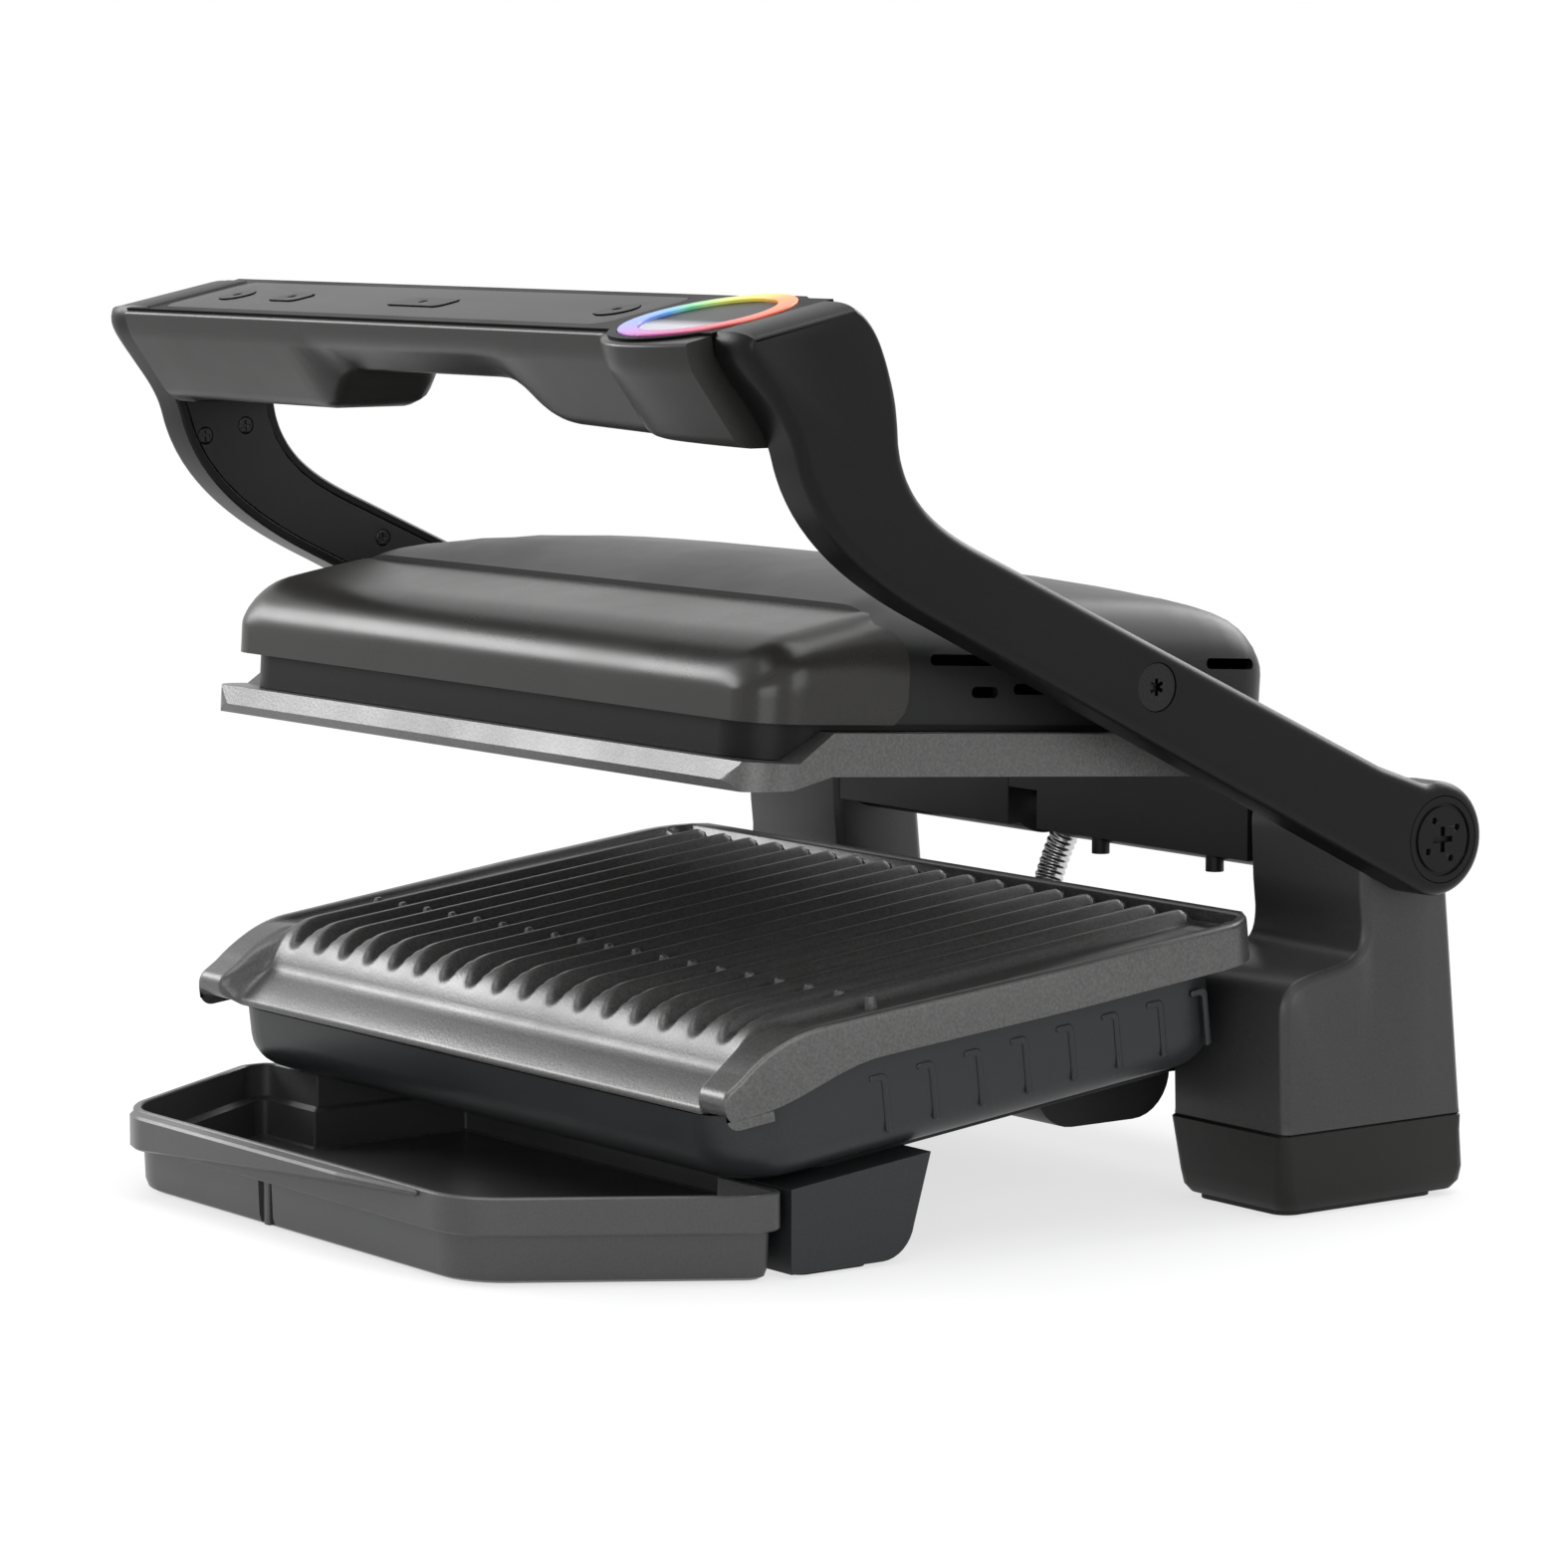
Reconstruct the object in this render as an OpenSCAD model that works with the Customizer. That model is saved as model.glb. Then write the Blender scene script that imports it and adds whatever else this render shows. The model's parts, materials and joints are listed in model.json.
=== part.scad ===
// Electric indoor grill with a hinged lid: a sloping ribbed lower plate over a drip tray, and an
// upper plate in a domed lid that hangs between two S-shaped arms joined by a handle.
// X runs to the user's right, Y to the back and Z up. Z = 0 is the table. Inside the modules
// Y = 0 is the hinge axis, and on_table() moves the finished piece so that the part is centred.

/* [Hinge and towers] */
// Height of the hinge axis above the table
hub_z = 118; // [112:1:126]
// Outer radius of the arm's hub
hub_r = 18; // [17:0.5:20]
// Radius of the steel hinge shaft
shaft_r = 6; // [5:0.5:7]
// Gap between the side of the lid's rear shell and an arm
arm_gap = 16; // [14:1:22]
// Width of each rear tower
tower_w = 55; // [48:1:62]
// Distance from the hinge axis to the front of a tower's foot
tower_front = 50; // [46:1:51]
// Distance from the hinge axis to the back of a tower's foot
tower_back = 27; // [22:1:32]
// Height of the dark shoe under each tower
shoe_h = 27; // [20:1:34]

/* [Arms and handle] */
// Thickness of an arm
arm_t = 16; // [15:0.5:20]
// Angle of an arm above the table in the rest pose
arm_angle = 24.9; // [22:0.1:28]
// Width of an arm at its narrow waist
arm_w = 23.5; // [21:0.5:26]
// Wall of the hollow arm
arm_wall = 3; // [2.5:0.1:4]
// Distance from the hinge axis to the lid's pivot
pivot_reach = 129; // [122:1:134]
// Distance from the hinge axis back to the handle's rear face
handle_reach = 214; // [208:1:222]
// Height of the handle's underside above the hinge axis
handle_rise = 130; // [124:1:138]
// Depth of the handle from front to back
handle_d = 39; // [34:1:44]
// Height of the handle at its rear face
handle_h = 41; // [36:1:46]
// Slope of the control deck
deck_tilt = 11.8; // [8:0.1:16]
// Outer radius of the indicator ring
ring_r = 26.5; // [22:0.5:28]
// Travel of a push button
button_travel = 0.8; // [0.6:0.1:1]

/* [Lower plate] */
// Half the width of the lower plate
plate_half = 157; // [154:1:160]
// Length of the lower plate from its rear rim to the rib ends
plate_len = 192; // [186:1:196]
// Forward slope of the lower plate
plate_tilt = 6.5; // [5:0.1:7.5]
// Height of the rib tops at the middle of the plate
plate_z = 86; // [84:0.5:90]
// Distance between two ribs
rib_pitch = 15.2; // [14.6:0.1:15.6]
// Number of ribs
rib_count = 18; // [16:1:18]
// Height of a rib above the groove
rib_h = 5; // [4:0.5:6]
// Width of a rib at its foot
rib_w = 10.4; // [8.5:0.1:11]
// Height of the plate's rim wall
rim_h = 13; // [11:0.5:15]

/* [Housing under the plate] */
// Half the width of the tub
tub_half = 147; // [143:1:150]
// Depth of the tub
tub_h = 32; // [28:1:34]
// Wall of the tub
tub_wall = 2.5; // [2:0.1:3.5]
// Number of raised marks along one side of the tub
mark_count = 8; // [5:1:8]

/* [Lid] */
// Upward slope of the lid's front in the rest pose
lid_pitch = 3.7; // [2:0.1:5]
// Half the width of the lid's rear shell
lid_half = 149; // [146:1:152]
// Height of the domed top above the pivot
dome_h = 31; // [28:0.5:34]
// Distance from the pivot to the upper plate's rim, straight down
plate_drop = 29; // [28:0.5:31]
// Wall of the lid's shells
lid_wall = 2.5; // [2:0.1:3]
// Half the width of the upper plate
upper_half = 155; // [152:1:158]

/* [Drip tray] */
// Half the width of the tray at its widest
tray_half = 146; // [142:1:150]
// Half the width of the tray's front edge
tray_front_half = 98; // [90:1:106]
// Distance from the hinge axis to the tray's front edge
tray_front = 313; // [306:1:320]
// Height of the tray's rim above the table
tray_h = 27; // [25:0.5:28]
// Wall of the tray
tray_wall = 2.4; // [2:0.1:3]
// Reach of the pull ledge in front of the tray
ledge = 6; // [4:0.5:8]

/* [Hidden] */
$fn = 32;

gap = 0.3;          // clearance between pieces that don't fit tightly
run = 0.05;         // radial clearance of a running fit
steps = 8;          // points along one curved stretch of an outline
far = 400;          // size of a block that cuts away all on one side of a plane

// Hinge, towers and arms
arm_in = lid_half + arm_gap;   // half the clear distance between the arms
arm_out = arm_in + arm_t;
tower_out = arm_in - 1;
tower_in = tower_out - tower_w;
washer_t = 0.8;
bush_t = 3;
pad_t = 1.5;
cap_r = 13.5;
cap_t = 3;
liner_t = 2.5;
bar_t = 5;
pocket_x = arm_out - 5;
bar_w = 13;
screw_r = 4;
screw_head_r = 7.2;
bend_start = 198;   // straight run of an arm, from the hinge axis
arm_dir = [-cos(arm_angle), sin(arm_angle)];
arm_nrm = [sin(arm_angle), cos(arm_angle)];
hub = [0, hub_z];
pivot = hub + pivot_reach * arm_dir;
hinge_y = (tray_front + ledge - tower_back) / 2;

// Handle: side outline from the driving sizes, with its front leaning forward
handle_back = -handle_reach;
handle_floor = hub_z + handle_rise;
handle_lean = 15;
deck_t = 7;
deck_back = [handle_back - 12, handle_floor + handle_h];
deck_d = handle_d + 5;
deck_front = deck_back - deck_d * [cos(deck_tilt), sin(deck_tilt)];
ring_x = arm_in - ring_r - 1.5;
ring_y = deck_d * 0.44;
ring_w = 6;
pod_r = ring_r + 3;
scoop_h = 15;       // height of the finger scoop under the handle
film_t = 1;
board_t = 1.6;
board_drop = 11;    // depth of the board's seat below the deck
film_left = arm_in - 15;
film_right = ring_x - pod_r - 4;
film_margin = 4;
button_y = deck_d / 2;

// Lower plate, in its own sloping frame: z = 0 is the plane of the rib tops
plate_y = -148;
plate_rear = 100.7;
plate_front = plate_rear - plate_len;
rim_drop = 2;       // rim top below the rib tops
flange_z = -rim_drop - rim_h;
floor_t = 4;
rim_w = 6;
lip_y = plate_front - 12;
lip_z = -22;
lip_t = 3;
lip_half = plate_half - 25;
cheek_half = plate_half - 7;
rib_start = plate_front + 21;
rib_end = plate_rear - 13;
pip_r = 1.6;
pip_h = 2.2;
pip_row = plate_front + 48;
pip_cluster = plate_front + 98;
pip_step = 13;
heater_r = 2.6;
heater_outer = lip_half - 20;    // half widths of the element's two hairpins
heater_inner = 50;
heater_inset = 40;
heater_margin = 30;
bend_r = 24;
sheet_t = 1;

// Tub, in the same sloping frame
tub_top = flange_z - 0.2;
tub_bottom = tub_top - tub_h;
tub_rear = plate_rear - 9;
tub_front = plate_front - 11;
tub_r = 22;
tub_round = 9;
ledge_w = 6;
floor_plate_t = 2.5;
foot_w = 29;
foot_out = tub_half - 2;
foot_in = foot_out - foot_w;
foot_top = 46;      // the tub's bottom cuts the foot off below this height
belly_half = foot_in - 4;
belly_r = 15;
belly_front = -107;
belly_rear = -52;
belly_z = 42;       // centre height of the belly's round edges
foot_front = -226;
foot_back = -172;
frame_top = 74;
frame_bottom = 40;
frame_rear = tower_back - 6;
frame_front = -60;  // before the tub's rear wall, which cuts it off
frame_r = 8;
mark_pitch = 18;
mark_w = 2;
mark_start = tub_front + 53;
lower_key_y = tub_front + 38;
lower_key_z = tub_bottom + 18;
screw_x = 98;
screw_ends = [tub_front + 42, tub_rear - 30];
floor_margin = 30;

// Lid, in its own frame: the pivot is the origin
lid_back = 79;
lid_front = -124;
lid_break = -78;    // line where the front cover ends on top
rear_r = 18;        // round corners of the lid, seen from above
front_r = 24;
band_z = -12;       // top of the dark frame
band_side = 4;
band_front = 13;
cover_half = lid_half + lid_wall + 0.5;
skirt_end = -66;    // rounded end of the cover's sides, behind the break line
skirt_r = 8;
skirt_top = 17;
plate_top = band_z - band_side - 0.2;
upper_rib_h = 5;
dip = 5;            // how much lower the upper plate's front runs
boss_r = 9;
vents = [[-61, 3.5, 25], [-45, -6, 10], [-29, -5, 13], [12, 3.5, 17], [20, -6, 9]];
vent_h = 3.4;
upper_key_y = 44;
rear_vent = [47, 20];
upper_key_z = 1;
lid_screw_x = lid_half - 5.5;
lid_screw_ends = [lid_front + 34, lid_back - 24];
pocket_floor = -plate_drop + 10;

// Drip tray
tray_narrow = foot_in - gap;
tray_mid = 240;
tray_step = 228;
tray_rear = 125;
tray_skirt = 12;    // depth of the tray's rim band
tray_inset = 3;
tray_clear = 0.5;   // height of the tray's underside above the table

// Feed conduit
hose_r = 5;
hose_x = -6;
hose_top = [3, hub_z - 14];
hose_foot = [-14, frame_top - 14];
hose_rib = 0.8;
hose_pitch = 2.4;

// ---- helpers -----------------------------------------------------------------------------
module on_table() translate([0, hinge_y, 0]) children();
module right_and_left() { children(); mirror([1, 0, 0]) children(); }
module side_cut(x0, t) translate([x0, 0, 0]) rotate([90, 0, 90]) linear_extrude(t) children();
module front_cut(y0, t) translate([0, y0 + t, 0]) rotate([90, 0, 0]) linear_extrude(t) children();
module in_plate() translate([0, plate_y, plate_z]) rotate([plate_tilt, 0, 0]) children();
module in_lid() translate([0, pivot[0], pivot[1]]) rotate([-lid_pitch, 0, 0]) children();
module in_deck() translate([0, deck_front[0], deck_front[1]]) rotate([deck_tilt, 0, 0]) children();
// All above a height of the sloping plate, or behind a line of it
module above_in_plate(z) in_plate() translate([-far / 2, -far / 2, z]) cube(far);
module before_in_plate(y) in_plate() translate([-far / 2, y - far, -far / 2]) cube(far);
module square_before(y) translate([-far / 2, y - far]) square(far);
module rod_x(x0, x1, r) translate([x0, 0, 0]) rotate([0, 90, 0]) cylinder(r = r, h = x1 - x0);
module at_yz(p) translate([0, p[0], p[1]]) children();

// Rectangle with round corners, from exact arcs
module round_rect(x0, y0, x1, y1, r) {
    translate([x0 + r, y0]) square([x1 - x0 - 2 * r, y1 - y0]);
    translate([x0, y0 + r]) square([x1 - x0, y1 - y0 - 2 * r]);
    for (x = [x0 + r, x1 - r], y = [y0 + r, y1 - r]) translate([x, y]) circle(r);
}

// Points along a cubic curve, without its last point
function curve(a, b, c, d, n = steps) = [for (i = [0:n - 1]) let (t = i / n)
    pow(1 - t, 3) * a + 3 * t * pow(1 - t, 2) * b + 3 * t * t * (1 - t) * c + pow(t, 3) * d];
// Points along a round arc, both ends included
function arc(c, r, a0, a1, n = steps) = [for (i = [0:n]) let (a = a0 + (a1 - a0) * i / n)
    c + r * [cos(a), sin(a)]];
// An outline drawn in by d, along the normal at each point, for outlines that run anticlockwise
function drawn_in(p, d) = let (n = len(p)) [for (i = [0:n - 1])
    let (v = p[(i + 1) % n] - p[(i + n - 1) % n], t = v / norm(v)) p[i] + d * [-t[1], t[0]]];

// ---- arms --------------------------------------------------------------------------------
// Side outline of an arm: hub, straight run, S-bend and the broad end beside the handle
bend_rear = hub + bend_start * arm_dir + arm_w / 2 * arm_nrm;
bend_front = hub + (bend_start + 9) * arm_dir - (arm_w / 2 + 1.5) * arm_nrm;
neck_rear = [handle_back + 1, handle_floor + 4];
neck_front = [handle_back - handle_d + 4, handle_floor - 3];
brow = deck_back + [-10, 0.5];
nose_r = 9;
nose = deck_front + [nose_r + 0.6, 5.5 - nose_r];
chin = nose + nose_r * [cos(208), sin(208)];
arm_outline = concat(
    arc(hub, hub_r, -90 - arm_angle, 130 - arm_angle, 16),
    [hub + 1.8 * hub_r * arm_dir + arm_w / 2 * arm_nrm],
    curve(bend_rear, bend_rear + 19 * arm_dir, neck_rear + [0, -24], neck_rear),
    curve(neck_rear, neck_rear + [-1.5, 18], brow + [16, 0.5], brow),
    [brow],
    arc(nose, nose_r, 96, 200, 7),
    curve(chin, chin + [3, -6], neck_front + [-3, 11], neck_front),
    curve(neck_front, neck_front + [6, -26], bend_front + 26 * arm_dir, bend_front),
    [bend_front]);

// Outer form of an arm: its outline, drawn in step by step towards the rounded outer edge
edge_steps = [[0, 4, 0], [4, 2, 0.5], [2, 1, 1.2], [1, 0.4, 2], [0.4, 0, 3]];
module arm_form() {
    side_cut(arm_in, arm_t - edge_steps[0][1]) polygon(arm_outline);
    for (i = [1:len(edge_steps) - 1])
        side_cut(arm_out - edge_steps[i][0], edge_steps[i][0] - edge_steps[i][1])
            polygon(drawn_in(arm_outline, edge_steps[i][2]));
}

module pocket_shape(extra) difference() {
    polygon(drawn_in(arm_outline, arm_wall + extra));
    translate(hub) circle(hub_r + 2 + extra);
}

module arm_side() color([0.06, 0.06, 0.065]) difference() {
    arm_form();
    side_cut(arm_in - 1, pocket_x - arm_in + 1) pocket_shape(0);
    at_yz(hub) {
        rod_x(arm_in - 1, arm_out + 1, shaft_r + run);
        rod_x(arm_out - cap_t, arm_out + 1, cap_r + gap);
    }
    at_yz(pivot) {
        rod_x(arm_in, arm_out + 1, screw_r + run);
        rod_x(arm_out - 3.6, arm_out + 1, screw_head_r + gap);
    }
}
module arm_right() on_table() arm_side();
module arm_left() on_table() mirror([1, 0, 0]) arm_side();

// Flat steel bar that stiffens the arm between the hub and the bend
module arm_bar() color([0.6, 0.6, 0.62]) difference() {
    side_cut(pocket_x - bar_t, bar_t) translate(hub) rotate(180 - arm_angle)
        translate([hub_r + 3, -bar_w / 2]) square([bend_start - hub_r - 22, bar_w]);
    at_yz(pivot) rod_x(arm_in, arm_out, screw_r + run);
}
module arm_bar_right() on_table() arm_bar();
module arm_bar_left() on_table() mirror([1, 0, 0]) arm_bar();

// Screws of the liner: two beside the handle's seam and one at the waist
liner_marks = [hub + [-239.6, 119], hub + [-224, 122], hub + [-170, 82]];
liner_head_r = 2.7;
module arm_liner() color([0.09, 0.09, 0.095]) difference() {
    side_cut(arm_in, liner_t) pocket_shape(gap);
    at_yz(pivot) rod_x(arm_in - 1, arm_in + 6, screw_r + 0.6);
    for (m = liner_marks) at_yz(m) rod_x(arm_in - 1, arm_in + 6, 1.5);
    for (m = liner_marks) at_yz(m) rod_x(arm_in - 1, arm_in + 1.2, liner_head_r + gap);
}
module arm_liner_right() on_table() arm_liner();
module arm_liner_left() on_table() mirror([1, 0, 0]) arm_liner();
module liner_screws() color([0.3, 0.3, 0.3]) on_table() right_and_left()
    for (m = liner_marks) at_yz(m) difference() {
        union() { rod_x(arm_in + 0.2, arm_in + 1.2, liner_head_r); rod_x(arm_in + 1.2, pocket_x - 0.1, 1.3); }
        for (a = [0, 90]) rotate([a, 0, 0]) translate([arm_in, -0.4, -1.8]) cube([0.8, 0.8, 3.6]);
    }

module hub_cap() color([0.05, 0.05, 0.05]) at_yz(hub) difference() {
    rod_x(arm_out - cap_t, arm_out, cap_r);
    difference() {
        rod_x(arm_out - 0.8, arm_out + 1, cap_r - 2);
        rod_x(arm_out - 1, arm_out + 2, cap_r - 3.2);
    }
    for (a = [0:90:270]) rotate([a + 30, 0, 0]) translate([0, 7, 0]) rod_x(arm_out - 2, arm_out + 1, 1.1);
    for (a = [0, 90]) rotate([a, 0, 0]) translate([arm_out - 1.5, -0.9, -4]) cube([2, 1.8, 8]);
}
module hub_cap_right() on_table() hub_cap();
module hub_cap_left() on_table() mirror([1, 0, 0]) hub_cap();

module pivot_screws() color([0.2, 0.2, 0.2]) on_table() right_and_left() at_yz(pivot)
    difference() {
        union() {
            rod_x(lid_half + 0.5, arm_out - 3.5, screw_r);
            rod_x(arm_out - 3.5, arm_out - 0.4, screw_head_r);
        }
        for (a = [0:60:120]) rotate([a, 0, 0]) translate([arm_out - 2.4, -0.6, -2.6]) cube([3, 1.2, 5.2]);
    }

// ---- hinge -------------------------------------------------------------------------------
module hinge_shaft() color([0.7, 0.7, 0.72]) on_table() at_yz(hub)
    rod_x(-(arm_out - cap_t - 0.2), arm_out - cap_t - 0.2, shaft_r);
module tower_bushes() color([0.75, 0.6, 0.3]) on_table() right_and_left() at_yz(hub)
    difference() {
        rod_x(tower_in, tower_out, shaft_r + bush_t);
        rod_x(tower_in - 1, tower_out + 1, shaft_r + run);
    }
module hinge_washers() color([0.8, 0.8, 0.8]) on_table() right_and_left() at_yz(hub)
    difference() {
        rod_x(tower_out + 0.1, tower_out + 0.1 + washer_t, hub_r - 2);
        rod_x(tower_out - 1, arm_in + 1, shaft_r + gap);
    }

// Cover of the shaft between the towers, in two shells with a notch for the conduit
bar_r = 17;
module crossbar_shape(extra) {
    circle(bar_r - extra);
    translate([-bar_r + extra, -bar_r + 4 + extra]) square([bar_r, 2 * (bar_r - 4 - extra)]);
}
module crossbar_shell(x0, x1) difference() {
    at_yz(hub) side_cut(x0, x1 - x0) crossbar_shape(0);
    at_yz(hub) side_cut(x0 + 3, x1 - x0 - 6) crossbar_shape(3);
    at_yz(hub) rod_x(x0 - 1, x1 + 1, shaft_r + run);
}
notch_left = hose_x - hose_r - 2.5;
notch_right = hose_x + hose_r + 2.5;
bar_end = tower_in - 0.6;
module boss_below(x) translate([x, -6, hub_z - bar_r - 3]) cylinder(r = 3, h = 6);
module crossbar_left() color([0.08, 0.08, 0.08]) on_table() crossbar_shell(-bar_end, notch_left - 0.3);
module crossbar_right() color([0.08, 0.08, 0.08]) on_table() {
    crossbar_shell(notch_right, bar_end);
    difference() {
        at_yz(hub) side_cut(notch_left, notch_right - notch_left) crossbar_shape(0);
        translate([notch_left - 1, -bar_r - 1, hub_z - bar_r - 1])
            cube([notch_right - notch_left + 2, 2 * bar_r + 2, bar_r + 1]);
        at_yz(hub) rod_x(notch_left - 1, notch_right + 1, shaft_r + run);
    }
    difference() {
        union() { boss_below(22); boss_below(80); }
        at_yz(hub) side_cut(0, bar_end) crossbar_shape(1);
    }
}
module thickness_sensor() color([0.15, 0.3, 0.15]) on_table() at_yz(hub) difference() {
    rod_x(notch_right + 3 + gap, notch_right + 15, bar_r - 3 - gap);
    rod_x(notch_right, notch_right + 20, shaft_r + run);
}

// Side outline of a tower: straight foot, rounded shoulder and a narrower neck up to the hub
shoulder_z = 72;
neck_half = 16;
tower_wall = 4;
tower_outline = concat(
    [[-tower_front + 1, shoe_h], [tower_back, shoe_h]],
    arc(hub, hub_r, 0, 180, 16),
    [[-neck_half - 1, hub_z - 18]],
    curve([-neck_half, shoulder_z + 19], [-neck_half, shoulder_z + 8],
        [-neck_half - 4, shoulder_z + 8], [-neck_half - 12, shoulder_z + 6]),
    curve([-neck_half - 12, shoulder_z + 6], [-tower_front + 6, shoulder_z + 4],
        [-tower_front, shoulder_z + 2], [-tower_front, shoulder_z - 8]),
    [[-tower_front, shoulder_z - 8]]);
module tower() color([0.13, 0.13, 0.14]) difference() {
    side_cut(tower_in, tower_w) polygon(tower_outline);
    at_yz(hub) rod_x(tower_in - 1, tower_out + 1, shaft_r + bush_t + 0.02);
    // hollow from below, closed by the shoe
    side_cut(tower_in + tower_wall, tower_w - 2 * tower_wall) polygon([
        [-tower_front + tower_wall + 1, shoe_h - 1], [tower_back - tower_wall, shoe_h - 1],
        [hub_r - 7, hub_z - hub_r - 6], [-neck_half + 6, hub_z - hub_r - 6],
        [-tower_front + tower_wall + 1, shoulder_z - 12]]);
}
module tower_right() on_table() tower();
module tower_left() on_table() mirror([1, 0, 0]) tower();

// Dark shoe: drawn in below, with round corners
module shoe() color([0.03, 0.03, 0.03]) {
    translate([0, 0, shoe_h - 6]) linear_extrude(6)
        round_rect(tower_in, -tower_front, tower_out, tower_back, 3);
    translate([0, 0, pad_t]) linear_extrude(shoe_h - 6 - pad_t)
        round_rect(tower_in + 1.2, -tower_front + 1.2, tower_out - 1.2, tower_back - 1.2, 4);
}
module shoe_right() on_table() shoe();
module shoe_left() on_table() mirror([1, 0, 0]) shoe();

module front_foot() color([0.05, 0.05, 0.055]) difference() {
    side_cut(foot_in, foot_out - foot_in) polygon(concat(
        [[foot_front, pad_t]],
        arc([foot_back - 20, pad_t + 12], 12, -90, -10),
        [[foot_back + 2, foot_top], [foot_front, foot_top]]));
    above_in_plate(tub_bottom - floor_plate_t);
}
module front_foot_right() on_table() front_foot();
module front_foot_left() on_table() mirror([1, 0, 0]) front_foot();
module foot_pads() color([0.02, 0.02, 0.02]) on_table() right_and_left() {
    linear_extrude(pad_t) round_rect(foot_in + 4, foot_front + 5, foot_out - 4, foot_back - 22, 4);
    linear_extrude(pad_t) round_rect(tower_in + 6, -tower_front + 6, tower_out - 6, tower_back - 6, 6);
}

// ---- housing under the lower plate -------------------------------------------------------
module tub_plan(d) round_rect(-tub_half + d, tub_front + d, tub_half - d, tub_rear - d, tub_r - d);
module tub_body(d) {
    translate([0, 0, tub_bottom + tub_round]) linear_extrude(tub_h - tub_round + (d > 0 ? 1 : 0)) tub_plan(d);
    for (k = [0:3]) translate([0, 0, tub_bottom + tub_round * (1 - sin(22.5 * (k + 1)))])
        linear_extrude(tub_round * (sin(22.5 * (k + 1)) - sin(22.5 * k)) + 0.01)
            tub_plan(d + tub_round * (1 - cos(22.5 * k + 11)));
}
// Room for the plate's front lip above the tub's front wall
module under_lip() translate([-far / 2, plate_front + 10 - far, lip_z - lip_t - gap]) cube(far);
module base_tub() color([0.16, 0.17, 0.19]) on_table() in_plate() {
    difference() {
        tub_body(0);
        translate([0, 0, tub_wall]) tub_body(tub_wall);
        key_hole(tub_half, lower_key_y, lower_key_z);
        under_lip();
    }
    // ledge that carries the reflector
    difference() {
        translate([0, 0, tub_top - sheet_t - 3]) linear_extrude(3) difference() {
            tub_plan(tub_wall - 0.5);
            tub_plan(tub_wall + ledge_w);
        }
        under_lip();
    }
    // raised marks along both sides
    right_and_left() for (i = [0:mark_count - 1])
        translate([tub_half - 0.2, mark_start + i * mark_pitch, 0]) {
            translate([0, 0, tub_bottom + tub_round + 1]) cube([1, mark_w, tub_h - tub_round - 7]);
            translate([0, -2 * mark_w, tub_top - 8]) cube([1, 3 * mark_w, mark_w]);
        }
}

// Bottom cover with the rounded belly between the feet
module base_floor() color([0.08, 0.08, 0.085]) on_table() difference() {
    union() {
        in_plate() translate([0, 0, tub_bottom - floor_plate_t]) linear_extrude(floor_plate_t)
            round_rect(-tub_half + floor_margin / 2, tub_front + floor_margin,
                tub_half - floor_margin / 2, tub_rear - tub_round, tub_r - 8);
        difference() {
            side_cut(-belly_half, 2 * belly_half) polygon(concat(
                arc([belly_front + belly_r, belly_z], belly_r, 180, 270),
                arc([belly_rear - belly_r, belly_z], belly_r, 270, 360),
                [[belly_rear, belly_z + belly_r], [belly_front, belly_z + belly_r]]));
            above_in_plate(tub_bottom - floor_plate_t);
        }
    }
    in_plate() for (x = [-screw_x, screw_x], y = screw_ends) translate([x, y, tub_bottom - 30]) {
        cylinder(r = 1.7, h = 60);
        cylinder(r = 3.8, h = 30 - floor_plate_t);
    }
}
module base_screws() color([0.5, 0.5, 0.5]) on_table() in_plate()
    for (x = [-screw_x, screw_x], y = screw_ends)
        translate([x, y, tub_bottom - floor_plate_t]) {
            cylinder(r = 1.5, h = floor_plate_t);
            translate([0, 0, -2]) cylinder(r = 3.2, h = 2);
        }

// Beam between the towers, seated against the tub's rear wall
module base_frame() color([0.1, 0.1, 0.105]) on_table() difference() {
    side_cut(-tower_in, 2 * tower_in) polygon(concat([[frame_front, frame_bottom]],
        arc([frame_rear - frame_r, frame_bottom + frame_r], frame_r, -90, 0),
        arc([frame_rear - frame_r, frame_top - frame_r], frame_r, 0, 90), [[frame_front, frame_top]]));
    before_in_plate(tub_rear);
    above_in_plate(flange_z - 0.4);
    hose_line() translate([0, 0, -1]) cylinder(r = hose_r + gap, h = frame_top);
    translate([inlet_x, 0, inlet_z]) rotate([-90, 0, 0]) cylinder(r = inlet_r + 0.1, h = frame_top);
}
inlet_x = 62;
inlet_z = 57;
inlet_r = 8;
inlet_bore = 3.6;
module cord_inlet() color([0.04, 0.04, 0.04]) on_table() translate([inlet_x, 2, inlet_z])
    rotate([-90, 0, 0]) difference() {
        union() {
            cylinder(r = inlet_r, h = frame_rear - 2);
            translate([0, 0, frame_rear - 2]) cylinder(r = inlet_r + 2, h = 3);
        }
        translate([0, 0, -1]) cylinder(r = inlet_bore, h = frame_rear + 3);
    }

// ---- feed conduit ------------------------------------------------------------------------
module hose_line() {
    v = [hose_top[0] - hose_foot[0], hose_top[1] - hose_foot[1]];
    translate([hose_x, hose_foot[0], hose_foot[1]]) rotate([-atan2(v[0], v[1]), 0, 0]) children();
}
hose_len = norm(hose_top - hose_foot);
hose_n = floor((hose_len - 4 * hose_r) / hose_pitch);
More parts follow.
